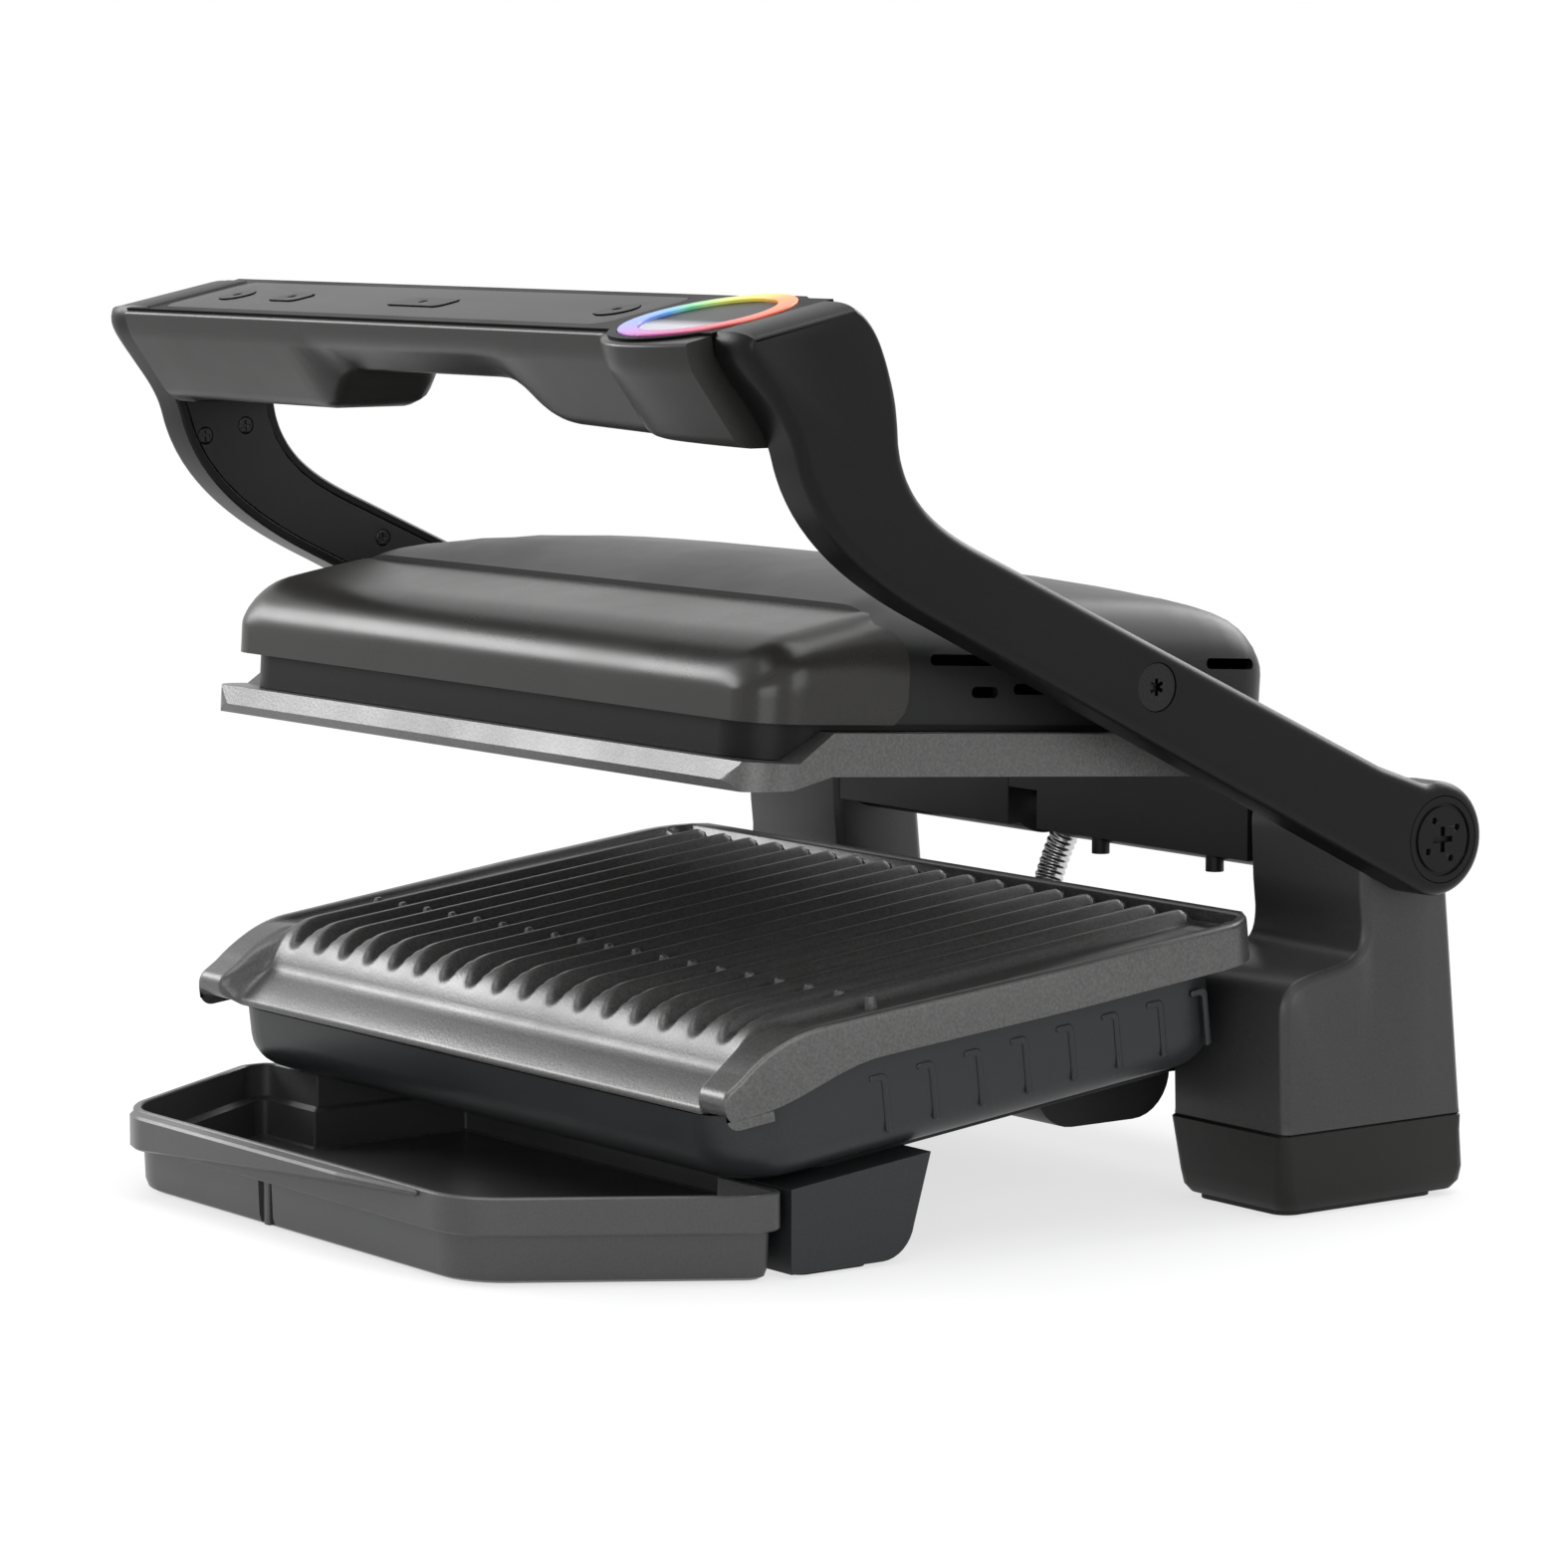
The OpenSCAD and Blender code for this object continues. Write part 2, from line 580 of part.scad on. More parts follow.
// Ribbed metal hose with straight ends
module feed_conduit() color([0.75, 0.75, 0.77]) on_table() hose_line() rotate_extrude() polygon(concat(
    [[hose_r - 1, 0], [hose_r - hose_rib, 0], [hose_r - hose_rib, 2 * hose_r]],
    [for (i = [0:hose_n - 1], k = [0, 1]) [hose_r - (k == 0 ? 0 : hose_rib),
        2 * hose_r + (i + 0.25 + 0.5 * k) * hose_pitch]],
    [[hose_r - hose_rib, hose_len], [hose_r - 1, hose_len]]));

// ---- lower plate -------------------------------------------------------------------------
module plate_plan(d) polygon(concat(
    arc([plate_half - 12 - d, plate_rear - 12 - d], 12, 0, 90),
    arc([-plate_half + 12 + d, plate_rear - 12 - d], 12, 90, 180),
    [[-plate_half + d, plate_rear - 80]], arc([-cheek_half + 10 + d, plate_front + 8 + d], 10, 180, 270),
    arc([cheek_half - 10 - d, plate_front + 8 + d], 10, 270, 360), [[plate_half - d, plate_rear - 80]]));

// Cross-section of all ribs, rounded on top
rib_left = -(rib_count - 1) / 2 * rib_pitch;
module rib_comb() for (i = [0:rib_count - 1]) translate([rib_left + i * rib_pitch, 0])
    polygon([[-rib_w / 2, -rib_h - fall], [rib_w / 2, -rib_h - fall], [rib_w / 2, -rib_h],
        [rib_w / 2 - 1, -rib_h * 0.55], [rib_w / 2 - 2, -rib_h * 0.2], [rib_w / 2 - 3.4, 0],
        [-rib_w / 2 + 3.4, 0], [-rib_w / 2 + 2, -rib_h * 0.2], [-rib_w / 2 + 1, -rib_h * 0.55],
        [-rib_w / 2, -rib_h]]);

// Side view of a rib: level on top, pouring over the front like a waterfall
fall = 13.5;
module rib_side() polygon(concat(
    curve([rib_start, 0], [rib_start - 9, 0], [plate_front + 5, -fall * 0.35], [plate_front, -fall]),
    [[plate_front, -fall], [plate_front + 6, -fall - 2], [rib_start, -rib_h - 2], [rib_end, -rib_h - 2],
        [rib_end, -1.5], [rib_end - 2, 0]]));

module lower_plate() color([0.14, 0.14, 0.14]) on_table() in_plate() {
    difference() {
        union() {
            // groove floor
            translate([0, 0, -rib_h - floor_t]) linear_extrude(floor_t) difference() {
                plate_plan(1);
                square_before(plate_front + 12);
            }
            // rim wall
            translate([0, 0, flange_z]) linear_extrude(rim_h) difference() {
                plate_plan(0);
                plate_plan(rim_w);
                square_before(plate_front + 12);
            }
        }
        // gutter behind the ribs
        translate([rib_left, rib_end + 0.6, -rib_h - 2])
            cube([-2 * rib_left, plate_rear - rim_w - rib_end - 1, 10]);
    }
    // sloping front lip, and the cheeks at its two ends
    side_cut(-cheek_half + 10, 2 * cheek_half - 20) polygon([[plate_front + 13, -rib_h],
        [plate_front + 7, -rib_h - 2], [plate_front, -fall + 0.5], [lip_y, lip_z],
        [lip_y - 1, lip_z - 2], [lip_y + 2, lip_z - lip_t], [plate_front + 1, flange_z - lip_t],
        [plate_front + 9, -rib_h - floor_t], [plate_front + 13, -rib_h - floor_t]]);
    right_and_left() side_cut(lip_half, cheek_half - lip_half) polygon(concat(
        [[plate_front + 13, flange_z], [plate_front + 13, -rim_drop]],
        curve([plate_front + 9, -rim_drop], [plate_front + 2, -rim_drop], [plate_front - 3, -7],
            [plate_front - 10, -14]),
        arc([lip_y - 1, lip_z + 3], 4, 120, 270), [[plate_front, lip_z - 1], [plate_front + 6, flange_z]]));
    // ribs
    intersection() {
        front_cut(plate_front - 1, rib_end - plate_front + 2) rib_comb();
        side_cut(rib_left - rib_w, -2 * rib_left + 2 * rib_w) rib_side();
    }
    // pips in the grooves: one row near the front and a cluster
    for (i = [0:rib_count]) pip(rib_left + (i - 0.5) * rib_pitch, pip_row);
    for (j = [0:2], i = [0:3]) if (j < 2 || i < 3)
        pip((i + 1.5 - j) * rib_pitch, pip_cluster + j * pip_step);
}
module pip(x, y) translate([x, y, -rib_h - 0.5]) cylinder(r1 = pip_r, r2 = pip_r - 0.9, h = pip_h, $fn = 4);

// ---- heaters, reflectors and sensors -------------------------------------------------------
// Heating element of flat-sided tube: two nested hairpins that join at the rear
module hairpin(half, y0, y1) difference() {
    round_rect(-half - heater_r, y0 - heater_r, half + heater_r, y1 + 2 * bend_r, bend_r + heater_r);
    round_rect(-half + heater_r, y0 + heater_r, half - heater_r, y1 + 3 * bend_r, bend_r - heater_r);
    translate([-far / 2, y1]) square(far);
}
module element(y0, y1, z) translate([0, 0, z - heater_r]) linear_extrude(2 * heater_r) {
    hairpin(heater_outer, y0, y1);
    hairpin(heater_inner, y0 + heater_inset, y1);
    for (x = [-heater_outer, heater_inner]) translate([x - heater_r, y1 - 2 * heater_r])
        square([heater_outer - heater_inner + 2 * heater_r, 2 * heater_r]);
}
lower_heat_z = -rib_h - floor_t - gap - heater_r;
module lower_heater() color([0.45, 0.42, 0.4]) on_table() in_plate()
    element(plate_front + heater_margin, tub_rear - heater_margin, lower_heat_z);
module lower_reflector() color([0.75, 0.75, 0.76]) on_table() in_plate() difference() {
    translate([0, 0, tub_top - sheet_t]) linear_extrude(sheet_t - 0.1) tub_plan(tub_wall + gap);
    translate([0, plate_mid, tub_top - 5]) cylinder(r = sensor_r + gap, h = 10);
    under_lip();
}
plate_mid = (plate_front + plate_rear) / 2;
sensor_r = 5;
module sensor_can(z0, z1) {
    translate([0, 0, z0]) cylinder(r = sensor_r, h = z1 - z0);
    translate([0, 0, z0]) cylinder(r = sensor_r + 3, h = 1.5);
}
module lower_sensor() color([0.7, 0.7, 0.6]) on_table() in_plate() translate([0, plate_mid, 0])
    sensor_can(tub_top - sheet_t - 1.7, -rib_h - floor_t - gap);

// Electronics on the bottom cover
board_z = tub_bottom + tub_wall;
board_l = 110;
board_w = 70;
board_x = -70;      // left front corner of the board
board_y = -40;
board_up = 3;       // height of the posts that carry it
board_edge = 8;
post_r = 3;
relay = [18, 22, 12];
capacitor_r = 8;
capacitor_h = 14;
terminal = [40, 18, 12];
module power_board() color([0.1, 0.35, 0.15]) on_table() in_plate() {
    translate([board_x, board_y, board_z + board_up]) cube([board_l, board_w, board_t]);
    for (x = [board_edge, board_l - board_edge], y = [board_edge, board_w - board_edge])
        translate([board_x + x, board_y + y, board_z]) cylinder(r = post_r, h = board_up + 0.1);
    translate([board_x + 15, board_y + 15, board_z + board_up + board_t]) cube(relay);
    translate([board_x + 50, board_y + 20, board_z + board_up + board_t])
        cylinder(r = capacitor_r, h = capacitor_h);
}
module terminal_block() color([0.85, 0.85, 0.8]) on_table() in_plate()
    translate([board_x + board_l + 16, board_y + board_w, board_z]) difference() {
        cube(terminal);
        for (i = [0:2]) translate([terminal[0] * (0.2 + 0.3 * i), terminal[1] / 2, terminal[2] / 2])
            cylinder(r = post_r, h = terminal[2]);
    }
fuse_r = 2.5;
fuse_l = 14;
module thermal_fuse() color([0.8, 0.8, 0.82]) on_table() in_plate()
    translate([28, -50, tub_top - sheet_t - gap - fuse_r - 0.1]) rotate([-90, 0, 0]) {
        cylinder(r = fuse_r, h = fuse_l);
        translate([0, 0, -8]) cylinder(r = 0.7, h = fuse_l + 16);
    }

// ---- plate releases: sprung keys on the left side ------------------------------------------
release_w = 20;
release_h = 8;
release_proud = 2.4;
release_t = 2;
module key_block(x0, t, d) translate([x0, -release_w / 2 - d, -release_h / 2 - d])
    cube([t, release_w + 2 * d, release_h + 2 * d]);
module key_hole(out, y, z) translate([-out, y, z]) key_block(-4, 12, gap);
module release_key(out, wall, y, z) translate([-out, y, z]) {
    key_block(-release_proud, release_proud + wall + gap + release_t, 0);
    key_block(wall + gap, release_t, 2);
}
module lower_release() color([0.3, 0.3, 0.32]) on_table() in_plate()
    release_key(tub_half, tub_wall, lower_key_y, lower_key_z);

// ---- drip tray ---------------------------------------------------------------------------
function tray_side(d) = [[tray_front_half - d * 0.6, -tray_front + d], [tray_half - d, -tray_mid + d * 0.4],
    [tray_half - d, -tray_step - d], [tray_narrow - d, -tray_step - d], [tray_narrow - d, -tray_rear - d]];
function tray_points(d) = concat(tray_side(d),
    [for (i = [4:-1:0]) [-tray_side(d)[i][0], tray_side(d)[i][1]]]);
module drip_tray() color([0.2, 0.2, 0.2]) on_table() {
    difference() {
        union() {
            translate([0, 0, tray_h - tray_skirt]) linear_extrude(tray_skirt) polygon(tray_points(0));
            translate([0, 0, tray_clear]) linear_extrude(tray_h - tray_skirt - tray_clear + 0.1)
                polygon(tray_points(tray_inset));
        }
        translate([0, 0, tray_clear + tray_wall]) linear_extrude(tray_h)
            polygon(tray_points(tray_inset + tray_wall));
        translate([0, 0, tray_h - tray_skirt + 1]) linear_extrude(tray_h) polygon(tray_points(tray_wall));
        // keyed groove in the front wall
        translate([-16, -tray_front - 1, -1]) cube([7, tray_inset + 2.2, tray_h - tray_skirt]);
    }
    // pull ledge along the front edge
    translate([0, 0, tray_h - 2.6]) linear_extrude(2.6) polygon([[-tray_front_half + 4, -tray_front + 0.5],
        [-tray_front_half + 22, -tray_front - ledge], [tray_front_half - 22, -tray_front - ledge],
        [tray_front_half - 4, -tray_front + 0.5]]);
}

// ---- handle ------------------------------------------------------------------------------
handle_outline = concat([[handle_back - handle_d, handle_floor]],
    curve([handle_back - 6, handle_floor], [handle_back, handle_floor], [handle_back, handle_floor + 4],
        [handle_back - 1, handle_floor + 8]),
    [[handle_back - 1, handle_floor + 8], deck_back + [2, -2], deck_back, deck_front, deck_front + [-1, -3]]);
// Front view of the handle: two lobes with a finger scoop between them
scoop_left = -48;
scoop_right = 58;
module handle_front() polygon(concat([[-arm_in, handle_floor]],
    curve([scoop_left - 6, handle_floor], [scoop_left, handle_floor], [scoop_left, handle_floor + scoop_h],
        [scoop_left + 10, handle_floor + scoop_h]),
    curve([scoop_right, handle_floor + scoop_h], [scoop_right + 22, handle_floor + scoop_h],
        [scoop_right + 18, handle_floor + 1], [scoop_right + 42, handle_floor + 1]),
    [[arm_in, handle_floor], [arm_in, handle_floor + 70], [-arm_in, handle_floor + 70]]));
module pod(z0, z1, r) intersection() {
    in_deck() translate([ring_x, ring_y, z0]) cylinder(r = r, h = z1 - z0);
    translate([-arm_in, deck_back[0] + 2 - far, 0]) cube([2 * arm_in, far, far]);
}
module handle_body() color([0.1, 0.1, 0.105]) on_table() difference() {
    union() {
        intersection() {
            side_cut(-arm_in, 2 * arm_in) polygon(handle_outline);
            front_cut(-320, 140) handle_front();
        }
        pod(-34, -deck_t, pod_r - 1);
    }
    in_deck() translate([-far / 2, -far / 2, -deck_t]) cube(far);
    in_deck() translate([-film_left + 6, 8, -board_drop])
        cube([film_left + film_right - 12, deck_d - 16, board_drop]);
}
module handle_deck() color([0.07, 0.07, 0.075]) on_table() difference() {
    union() {
        in_deck() translate([-arm_in, 0, -deck_t + 0.1]) cube([2 * arm_in, deck_d, deck_t - 0.1]);
        pod(-deck_t + 0.1, 0, pod_r);
    }
    in_deck() {
        translate([0, 0, -film_t - 0.1]) linear_extrude(5) film_shape(0);
        translate([ring_x, ring_y, -3]) cylinder(r = ring_r + 0.2, h = 5);
        buttons_cut(gap, -20, 20);
    }
}
module film_shape(d)
    round_rect(-film_left + d, film_margin + d, film_right - d, deck_d - film_margin - d, 6 - d);
buttons = [["round", -130, 6], ["bar", -96, 8], ["bar", -18, 15], ["round", film_right - 16, 7]];
module button_shape(b, d) translate([b[1], button_y])
    if (b[0] == "round") circle(b[2] + d);
    else round_rect(-b[2] - d, -5 - d, b[2] + d, 5 + d, 3 + d);
module buttons_cut(d, z0, z1) translate([0, 0, z0]) linear_extrude(z1 - z0)
    for (b = buttons) button_shape(b, d);
module panel_film() color([0.02, 0.02, 0.02]) on_table() in_deck() difference() {
    translate([0, 0, -film_t]) linear_extrude(film_t) film_shape(0.15);
    buttons_cut(gap, -5, 5);
}
module button(i) color([0.04, 0.04, 0.045]) on_table() in_deck() difference() {
    translate([0, 0, -deck_t - 0.2]) linear_extrude(deck_t + 0.5) button_shape(buttons[i], 0);
    translate([buttons[i][1], button_y, 4.2]) sphere(r = 4.3);
}
module power_button() button(0);
module frozen_button() button(1);
module program_button() button(2);
module ok_button() button(3);
module control_board() color([0.1, 0.35, 0.15]) on_table() in_deck() {
    translate([-film_left + 8, 10, -board_drop]) cube([film_left + film_right - 16, deck_d - 20, board_t]);
    for (b = buttons) translate([b[1], button_y, -board_drop + board_t]) cylinder(r = post_r, h = switch_h);
}
// Switches reach up to the buttons' stems, less the travel
switch_h = board_drop - board_t - deck_t - 0.2 - button_travel - 0.2;
module indicator_ring() color([0.8, 0.7, 0.3]) on_table() in_deck()
    translate([ring_x, ring_y, -3]) difference() {
        cylinder(r = ring_r, h = 3.6);
        translate([0, 0, -1]) cylinder(r = ring_r - ring_w, h = 6);
    }
module ring_lens() color([0.3, 0.3, 0.32]) on_table() in_deck() translate([ring_x, ring_y, -3])
    cylinder(r = ring_r - ring_w - 0.2, h = 2.6);

// ---- lid ---------------------------------------------------------------------------------
// Outer form of the lid as three outlines cut through each other: side, front and plan
function crown(h, half, d) = concat([[half - d, band_z - 2], [half - d, h * 0.2 - d]],
    curve([half - d, h * 0.3 - d], [half - d, h * 0.62 - d], [half - 12, h * 0.68 - d],
        [half - 28, h * 0.76 - d]),
    curve([half - 28, h * 0.76 - d], [half * 0.5, h - d], [half * 0.2, h - d], [0, h - d]));
module crown_shape(h, half, d) polygon(concat(crown(h, half, d),
    [for (i = [len(crown(h, half, d)) - 1:-1:0]) [-crown(h, half, d)[i][0], crown(h, half, d)[i][1]]]));
module rear_side(d) polygon(concat([[lid_break + d, band_z - (d > 0 ? 5 : 0)],
    [lid_back - d, band_z - (d > 0 ? 5 : 0)]],
    curve([lid_back - d, 2 - d], [lid_back - d, 13 - d], [lid_back - 8, 18 - d], [lid_back - 24, 22 - d]),
    curve([lid_back - 24, 22 - d], [30, dome_h - 2 - d], [-10, dome_h + 1 - d], [-36, dome_h - d]),
    curve([-36, dome_h - d], [-52, dome_h - 1 - d], [-66, 25 - d], [lid_break + d, 21.5 - d]),
    [[lid_break + d, 21.5 - d]]));
module rear_block(d) intersection() {
    side_cut(-lid_half + d, 2 * (lid_half - d)) rear_side(d);
    front_cut(-far / 2, far) crown_shape(dome_h, lid_half, d);
    translate([0, 0, -far / 2]) linear_extrude(far)
        round_rect(-lid_half + d, lid_break - 40, lid_half - d, lid_back - d, rear_r - d);
}
module lid_rear() color([0.1, 0.1, 0.11]) on_table() in_lid() difference() {
    union() {
        difference() {
            rear_block(0);
            rear_block(lid_wall);
            translate([-lid_half + 30, lid_break - 1, band_z - 1]) cube([2 * lid_half - 60, 8, 26]);
            // slot in the front wall for the reflector
            translate([-lid_half + lid_wall + gap, lid_break - 1, band_z - 3])
                cube([2 * (lid_half - lid_wall - gap), lid_wall + 2, sheet_t + 3 + gap]);
        }
        right_and_left() rod_x(lid_half - lid_wall, arm_in - gap, boss_r);
    }
    right_and_left() rod_x(lid_half - 10, arm_in + 1, screw_r + 2 + 0.02);
    // vents in both sides, the last one only on the right, where no release key is
    for (v = vents) translate([-lid_half - 1, v[0], v[1]]) cube([2 * lid_half + 2, v[2], vent_h]);
    translate([lid_half - 12, rear_vent[0], vents[0][1]]) cube([20, rear_vent[1], vent_h]);
    key_hole(lid_half, upper_key_y, upper_key_z);
}

module cover_side(d) polygon(concat([[lid_front + d, band_z - (d > 0 ? 6 : 2)], [lid_front + d, -8]],
    curve([lid_front + d, -4], [lid_front + 2 + d, 3 - d], [lid_front + 7 + d, 8 - d],
        [lid_front + 16 + d, 11.5 - d]),
    [[lid_break + 20, 24 - d], [lid_break + 20, band_z - (d > 0 ? 6 : 2)]]));
module cover_block(d) intersection() {
    side_cut(-cover_half, 2 * cover_half) cover_side(d);
    front_cut(-far / 2, far) crown_shape(dome_h, cover_half, d);
    translate([0, 0, -far / 2]) linear_extrude(far)
        round_rect(-cover_half + d, lid_front + d, cover_half - d, lid_back, front_r - d);
}
module lid_cover() color([0.2, 0.195, 0.19]) on_table() in_lid() difference() {
    cover_block(0);
    cover_block(lid_wall);
    // the top ends at the break line, the sides run on to a rounded end
    translate([-lid_half - 0.3, lid_break - gap, band_z - 5]) cube([2 * lid_half + 0.6, 60, 60]);
    translate([-far / 2, lid_break - gap, skirt_top]) cube(far);
    translate([0, skirt_end - skirt_r, 0]) difference() {
        translate([-far / 2, 0, band_z - 5]) cube(far);
        for (z = [0, 6]) translate([0, 0, z]) rod_x(-far / 2, far / 2, skirt_r);
        translate([-far / 2, 0, 0]) cube([far, skirt_r, 6]);
    }
}

// Side outlines of the dark frame and of the upper plate, both dipping at the front
dip_y = lid_front + 24;
frame_step = lid_wall + gap;
module frame_side() polygon([[lid_front + frame_step, band_z - 0.1],
    [lid_front + frame_step, band_z - band_front], [lid_front + 12, band_z - band_front],
    [dip_y, band_z - band_side], [lid_back - 2, band_z - band_side], [lid_back - 2, band_z - 0.1]]);
module lid_frame() color([0.04, 0.04, 0.045]) on_table() in_lid() difference() {
    intersection() {
        side_cut(-lid_half + 1, 2 * lid_half - 2) frame_side();
        translate([0, 0, -far / 2]) linear_extrude(far)
            round_rect(-lid_half + 1, lid_front + frame_step, lid_half - 1, lid_back - 2, front_r - 2);
    }
    translate([0, 0, -far / 2]) linear_extrude(far)
        round_rect(-lid_half + 9, lid_front + 11, lid_half - 9, lid_back - 10, 14);
    lid_screw_holes(1.45);
}
module lid_screw_holes(r) for (x = [-lid_screw_x, lid_screw_x], y = lid_screw_ends)
    translate([x, y, band_z - 5]) cylinder(r = r, h = 9);
module upper_side() polygon([[lid_back - 1, plate_top], [lid_back - 1, -plate_drop], [dip_y, -plate_drop],
    [lid_front + 10, -plate_drop - dip + 1], [lid_front - 3, -plate_drop - dip],
    [lid_front - 5, -plate_drop - dip + 3], [lid_front - 3, band_z - band_front - 0.2],
    [lid_front + 12, band_z - band_front - 0.2], [dip_y, plate_top]]);
module upper_plan() round_rect(-upper_half, lid_front - 5, upper_half, lid_back - 1, 16);
module upper_plate() color([0.14, 0.14, 0.14]) on_table() in_lid() {
    difference() {
        intersection() {
            side_cut(-upper_half, 2 * upper_half) upper_side();
            translate([0, 0, -far / 2]) linear_extrude(far) upper_plan();
        }
        // hollow face towards the food
        translate([-upper_half + 7, dip_y + 2, -60])
            cube([2 * upper_half - 14, lid_back - 10 - dip_y, 60 - plate_drop + upper_rib_h + 1]);
        // shallow pocket for the heating element
        translate([-upper_half + 16, dip_y + 2, pocket_floor])
            cube([2 * upper_half - 32, lid_back - 14 - dip_y, plate_drop]);
    }
    for (i = [0:rib_count - 1]) translate([rib_left + i * rib_pitch, dip_y + 1, 0])
        front_cut(0, lid_back - 8 - dip_y) polygon([
            [-rib_w / 2, -plate_drop + upper_rib_h + 1.5], [-rib_w / 2 + 2.4, -plate_drop + 1],
            [rib_w / 2 - 2.4, -plate_drop + 1], [rib_w / 2, -plate_drop + upper_rib_h + 1.5]]);
}
upper_heat_z = pocket_floor + gap + heater_r;
upper_mid = (dip_y + lid_back) / 2;
module upper_heater() color([0.45, 0.42, 0.4]) on_table() in_lid()
    element(lid_front + heater_margin + 6, lid_back - heater_margin, upper_heat_z);
module upper_reflector() color([0.75, 0.75, 0.76]) on_table() in_lid() difference() {
    translate([0, 0, band_z - 0.1]) linear_extrude(sheet_t)
        round_rect(-lid_half + 3.5, lid_front + 5, lid_half - 3.5, lid_back - 4, 18);
    translate([0, upper_mid, band_z - 5]) cylinder(r = sensor_r + gap, h = 20);
    lid_screw_holes(1.6);
}
module upper_sensor() color([0.7, 0.7, 0.6]) on_table() in_lid() translate([0, upper_mid, 0])
    mirror([0, 0, 1]) sensor_can(-band_z + 0.1 - sheet_t - 1.5, -pocket_floor - gap);
module pivot_bushes() color([0.75, 0.6, 0.3]) on_table() in_lid() right_and_left() difference() {
    rod_x(lid_half - lid_wall, arm_in - gap, screw_r + 2);
    rod_x(lid_half - 20, arm_in + 1, screw_r + run);
}
module lid_screws() color([0.5, 0.5, 0.5]) on_table() in_lid()
    for (x = [-lid_screw_x, lid_screw_x], y = lid_screw_ends) translate([x, y, band_z - 0.1 + sheet_t]) {
        cylinder(r = 2.6, h = 1.8);
        translate([0, 0, -4]) cylinder(r = 1.4, h = 4);
    }
module upper_release() color([0.3, 0.3, 0.32]) on_table() in_lid()
    release_key(lid_half, lid_wall, upper_key_y, upper_key_z);

base_tub();
base_floor();
base_frame();
tower_left();
tower_right();
shoe_left();
shoe_right();
front_foot_left();
front_foot_right();
foot_pads();
tower_bushes();
hinge_washers();
base_screws();
lower_plate();
lower_heater();
lower_reflector();
lower_sensor();
power_board();
terminal_block();
thermal_fuse();
cord_inlet();
lower_release();
drip_tray();
hinge_shaft();
arm_left();
arm_right();
arm_bar_left();
arm_bar_right();
arm_liner_left();
arm_liner_right();
liner_screws();
hub_cap_left();
hub_cap_right();
pivot_screws();
crossbar_left();
crossbar_right();
thickness_sensor();
handle_body();
handle_deck();
panel_film();
control_board();
indicator_ring();
ring_lens();
power_button();
frozen_button();
program_button();
ok_button();
feed_conduit();
lid_rear();
lid_cover();
lid_frame();
upper_plate();
upper_heater();
upper_reflector();
upper_sensor();
pivot_bushes();
upper_release();
lid_screws();
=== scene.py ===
# %% [markdown]
# # An electric indoor grill with a lid
# The grill is a set of rigid pieces that were made elsewhere at their real size. This lesson loads
# them as a fixed frame, gives every surface its finish, rebuilds the pieces whose soft forms need
# a denser mesh, and lights them as a product photographer would. All lengths are in metres.

# %% Load the frame
import json
import math

import bpy
import bmesh
from mathutils import Matrix, Vector


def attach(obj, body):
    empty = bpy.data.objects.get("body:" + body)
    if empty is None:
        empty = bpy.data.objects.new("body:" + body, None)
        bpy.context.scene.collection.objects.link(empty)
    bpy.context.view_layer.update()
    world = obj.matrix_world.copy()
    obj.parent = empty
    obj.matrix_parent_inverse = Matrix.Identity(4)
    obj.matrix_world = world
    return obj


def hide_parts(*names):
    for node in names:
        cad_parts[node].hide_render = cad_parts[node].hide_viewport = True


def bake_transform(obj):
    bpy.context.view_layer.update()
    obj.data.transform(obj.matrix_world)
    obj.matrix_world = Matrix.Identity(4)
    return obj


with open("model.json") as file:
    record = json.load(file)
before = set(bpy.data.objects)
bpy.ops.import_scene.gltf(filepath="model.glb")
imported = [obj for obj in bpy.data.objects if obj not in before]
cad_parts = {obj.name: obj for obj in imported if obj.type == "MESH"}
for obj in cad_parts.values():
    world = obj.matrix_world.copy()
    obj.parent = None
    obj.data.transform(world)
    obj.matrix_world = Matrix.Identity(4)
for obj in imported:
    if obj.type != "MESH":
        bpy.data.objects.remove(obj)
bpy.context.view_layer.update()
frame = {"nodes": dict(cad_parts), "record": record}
nodes = frame["nodes"]
MM = 0.001

# %% [markdown]
# The joints carry the two axes that most sizes hang on: the hinge at the back, and the pivot by
# which the lid hangs between its arms. Reading them here keeps the new pieces true to the frame.

# %% Read the axes
joints = {j["name"]: j for j in frame["record"]["behaviour"]["joints"]}
hinge = Vector(joints["lid_hinge"]["pos_m"])
pivot = Vector(joints["housing_pivot"]["pos_m"])
ARM_ANGLE = math.atan2(pivot.z - hinge.z, hinge.y - pivot.y)
PLATE_TILT = math.radians(6.5)
LID_PITCH = math.radians(3.7)
print("arm angle:", round(math.degrees(ARM_ANGLE), 2), "degrees, hinge:", tuple(round(c, 4) for c in hinge))

# %% [markdown]
# ## The camera
# The photograph was taken with a long lens, a little above the level of the plates and from the
# front right. A long lens keeps parallel edges nearly parallel, which is why the field is narrow.

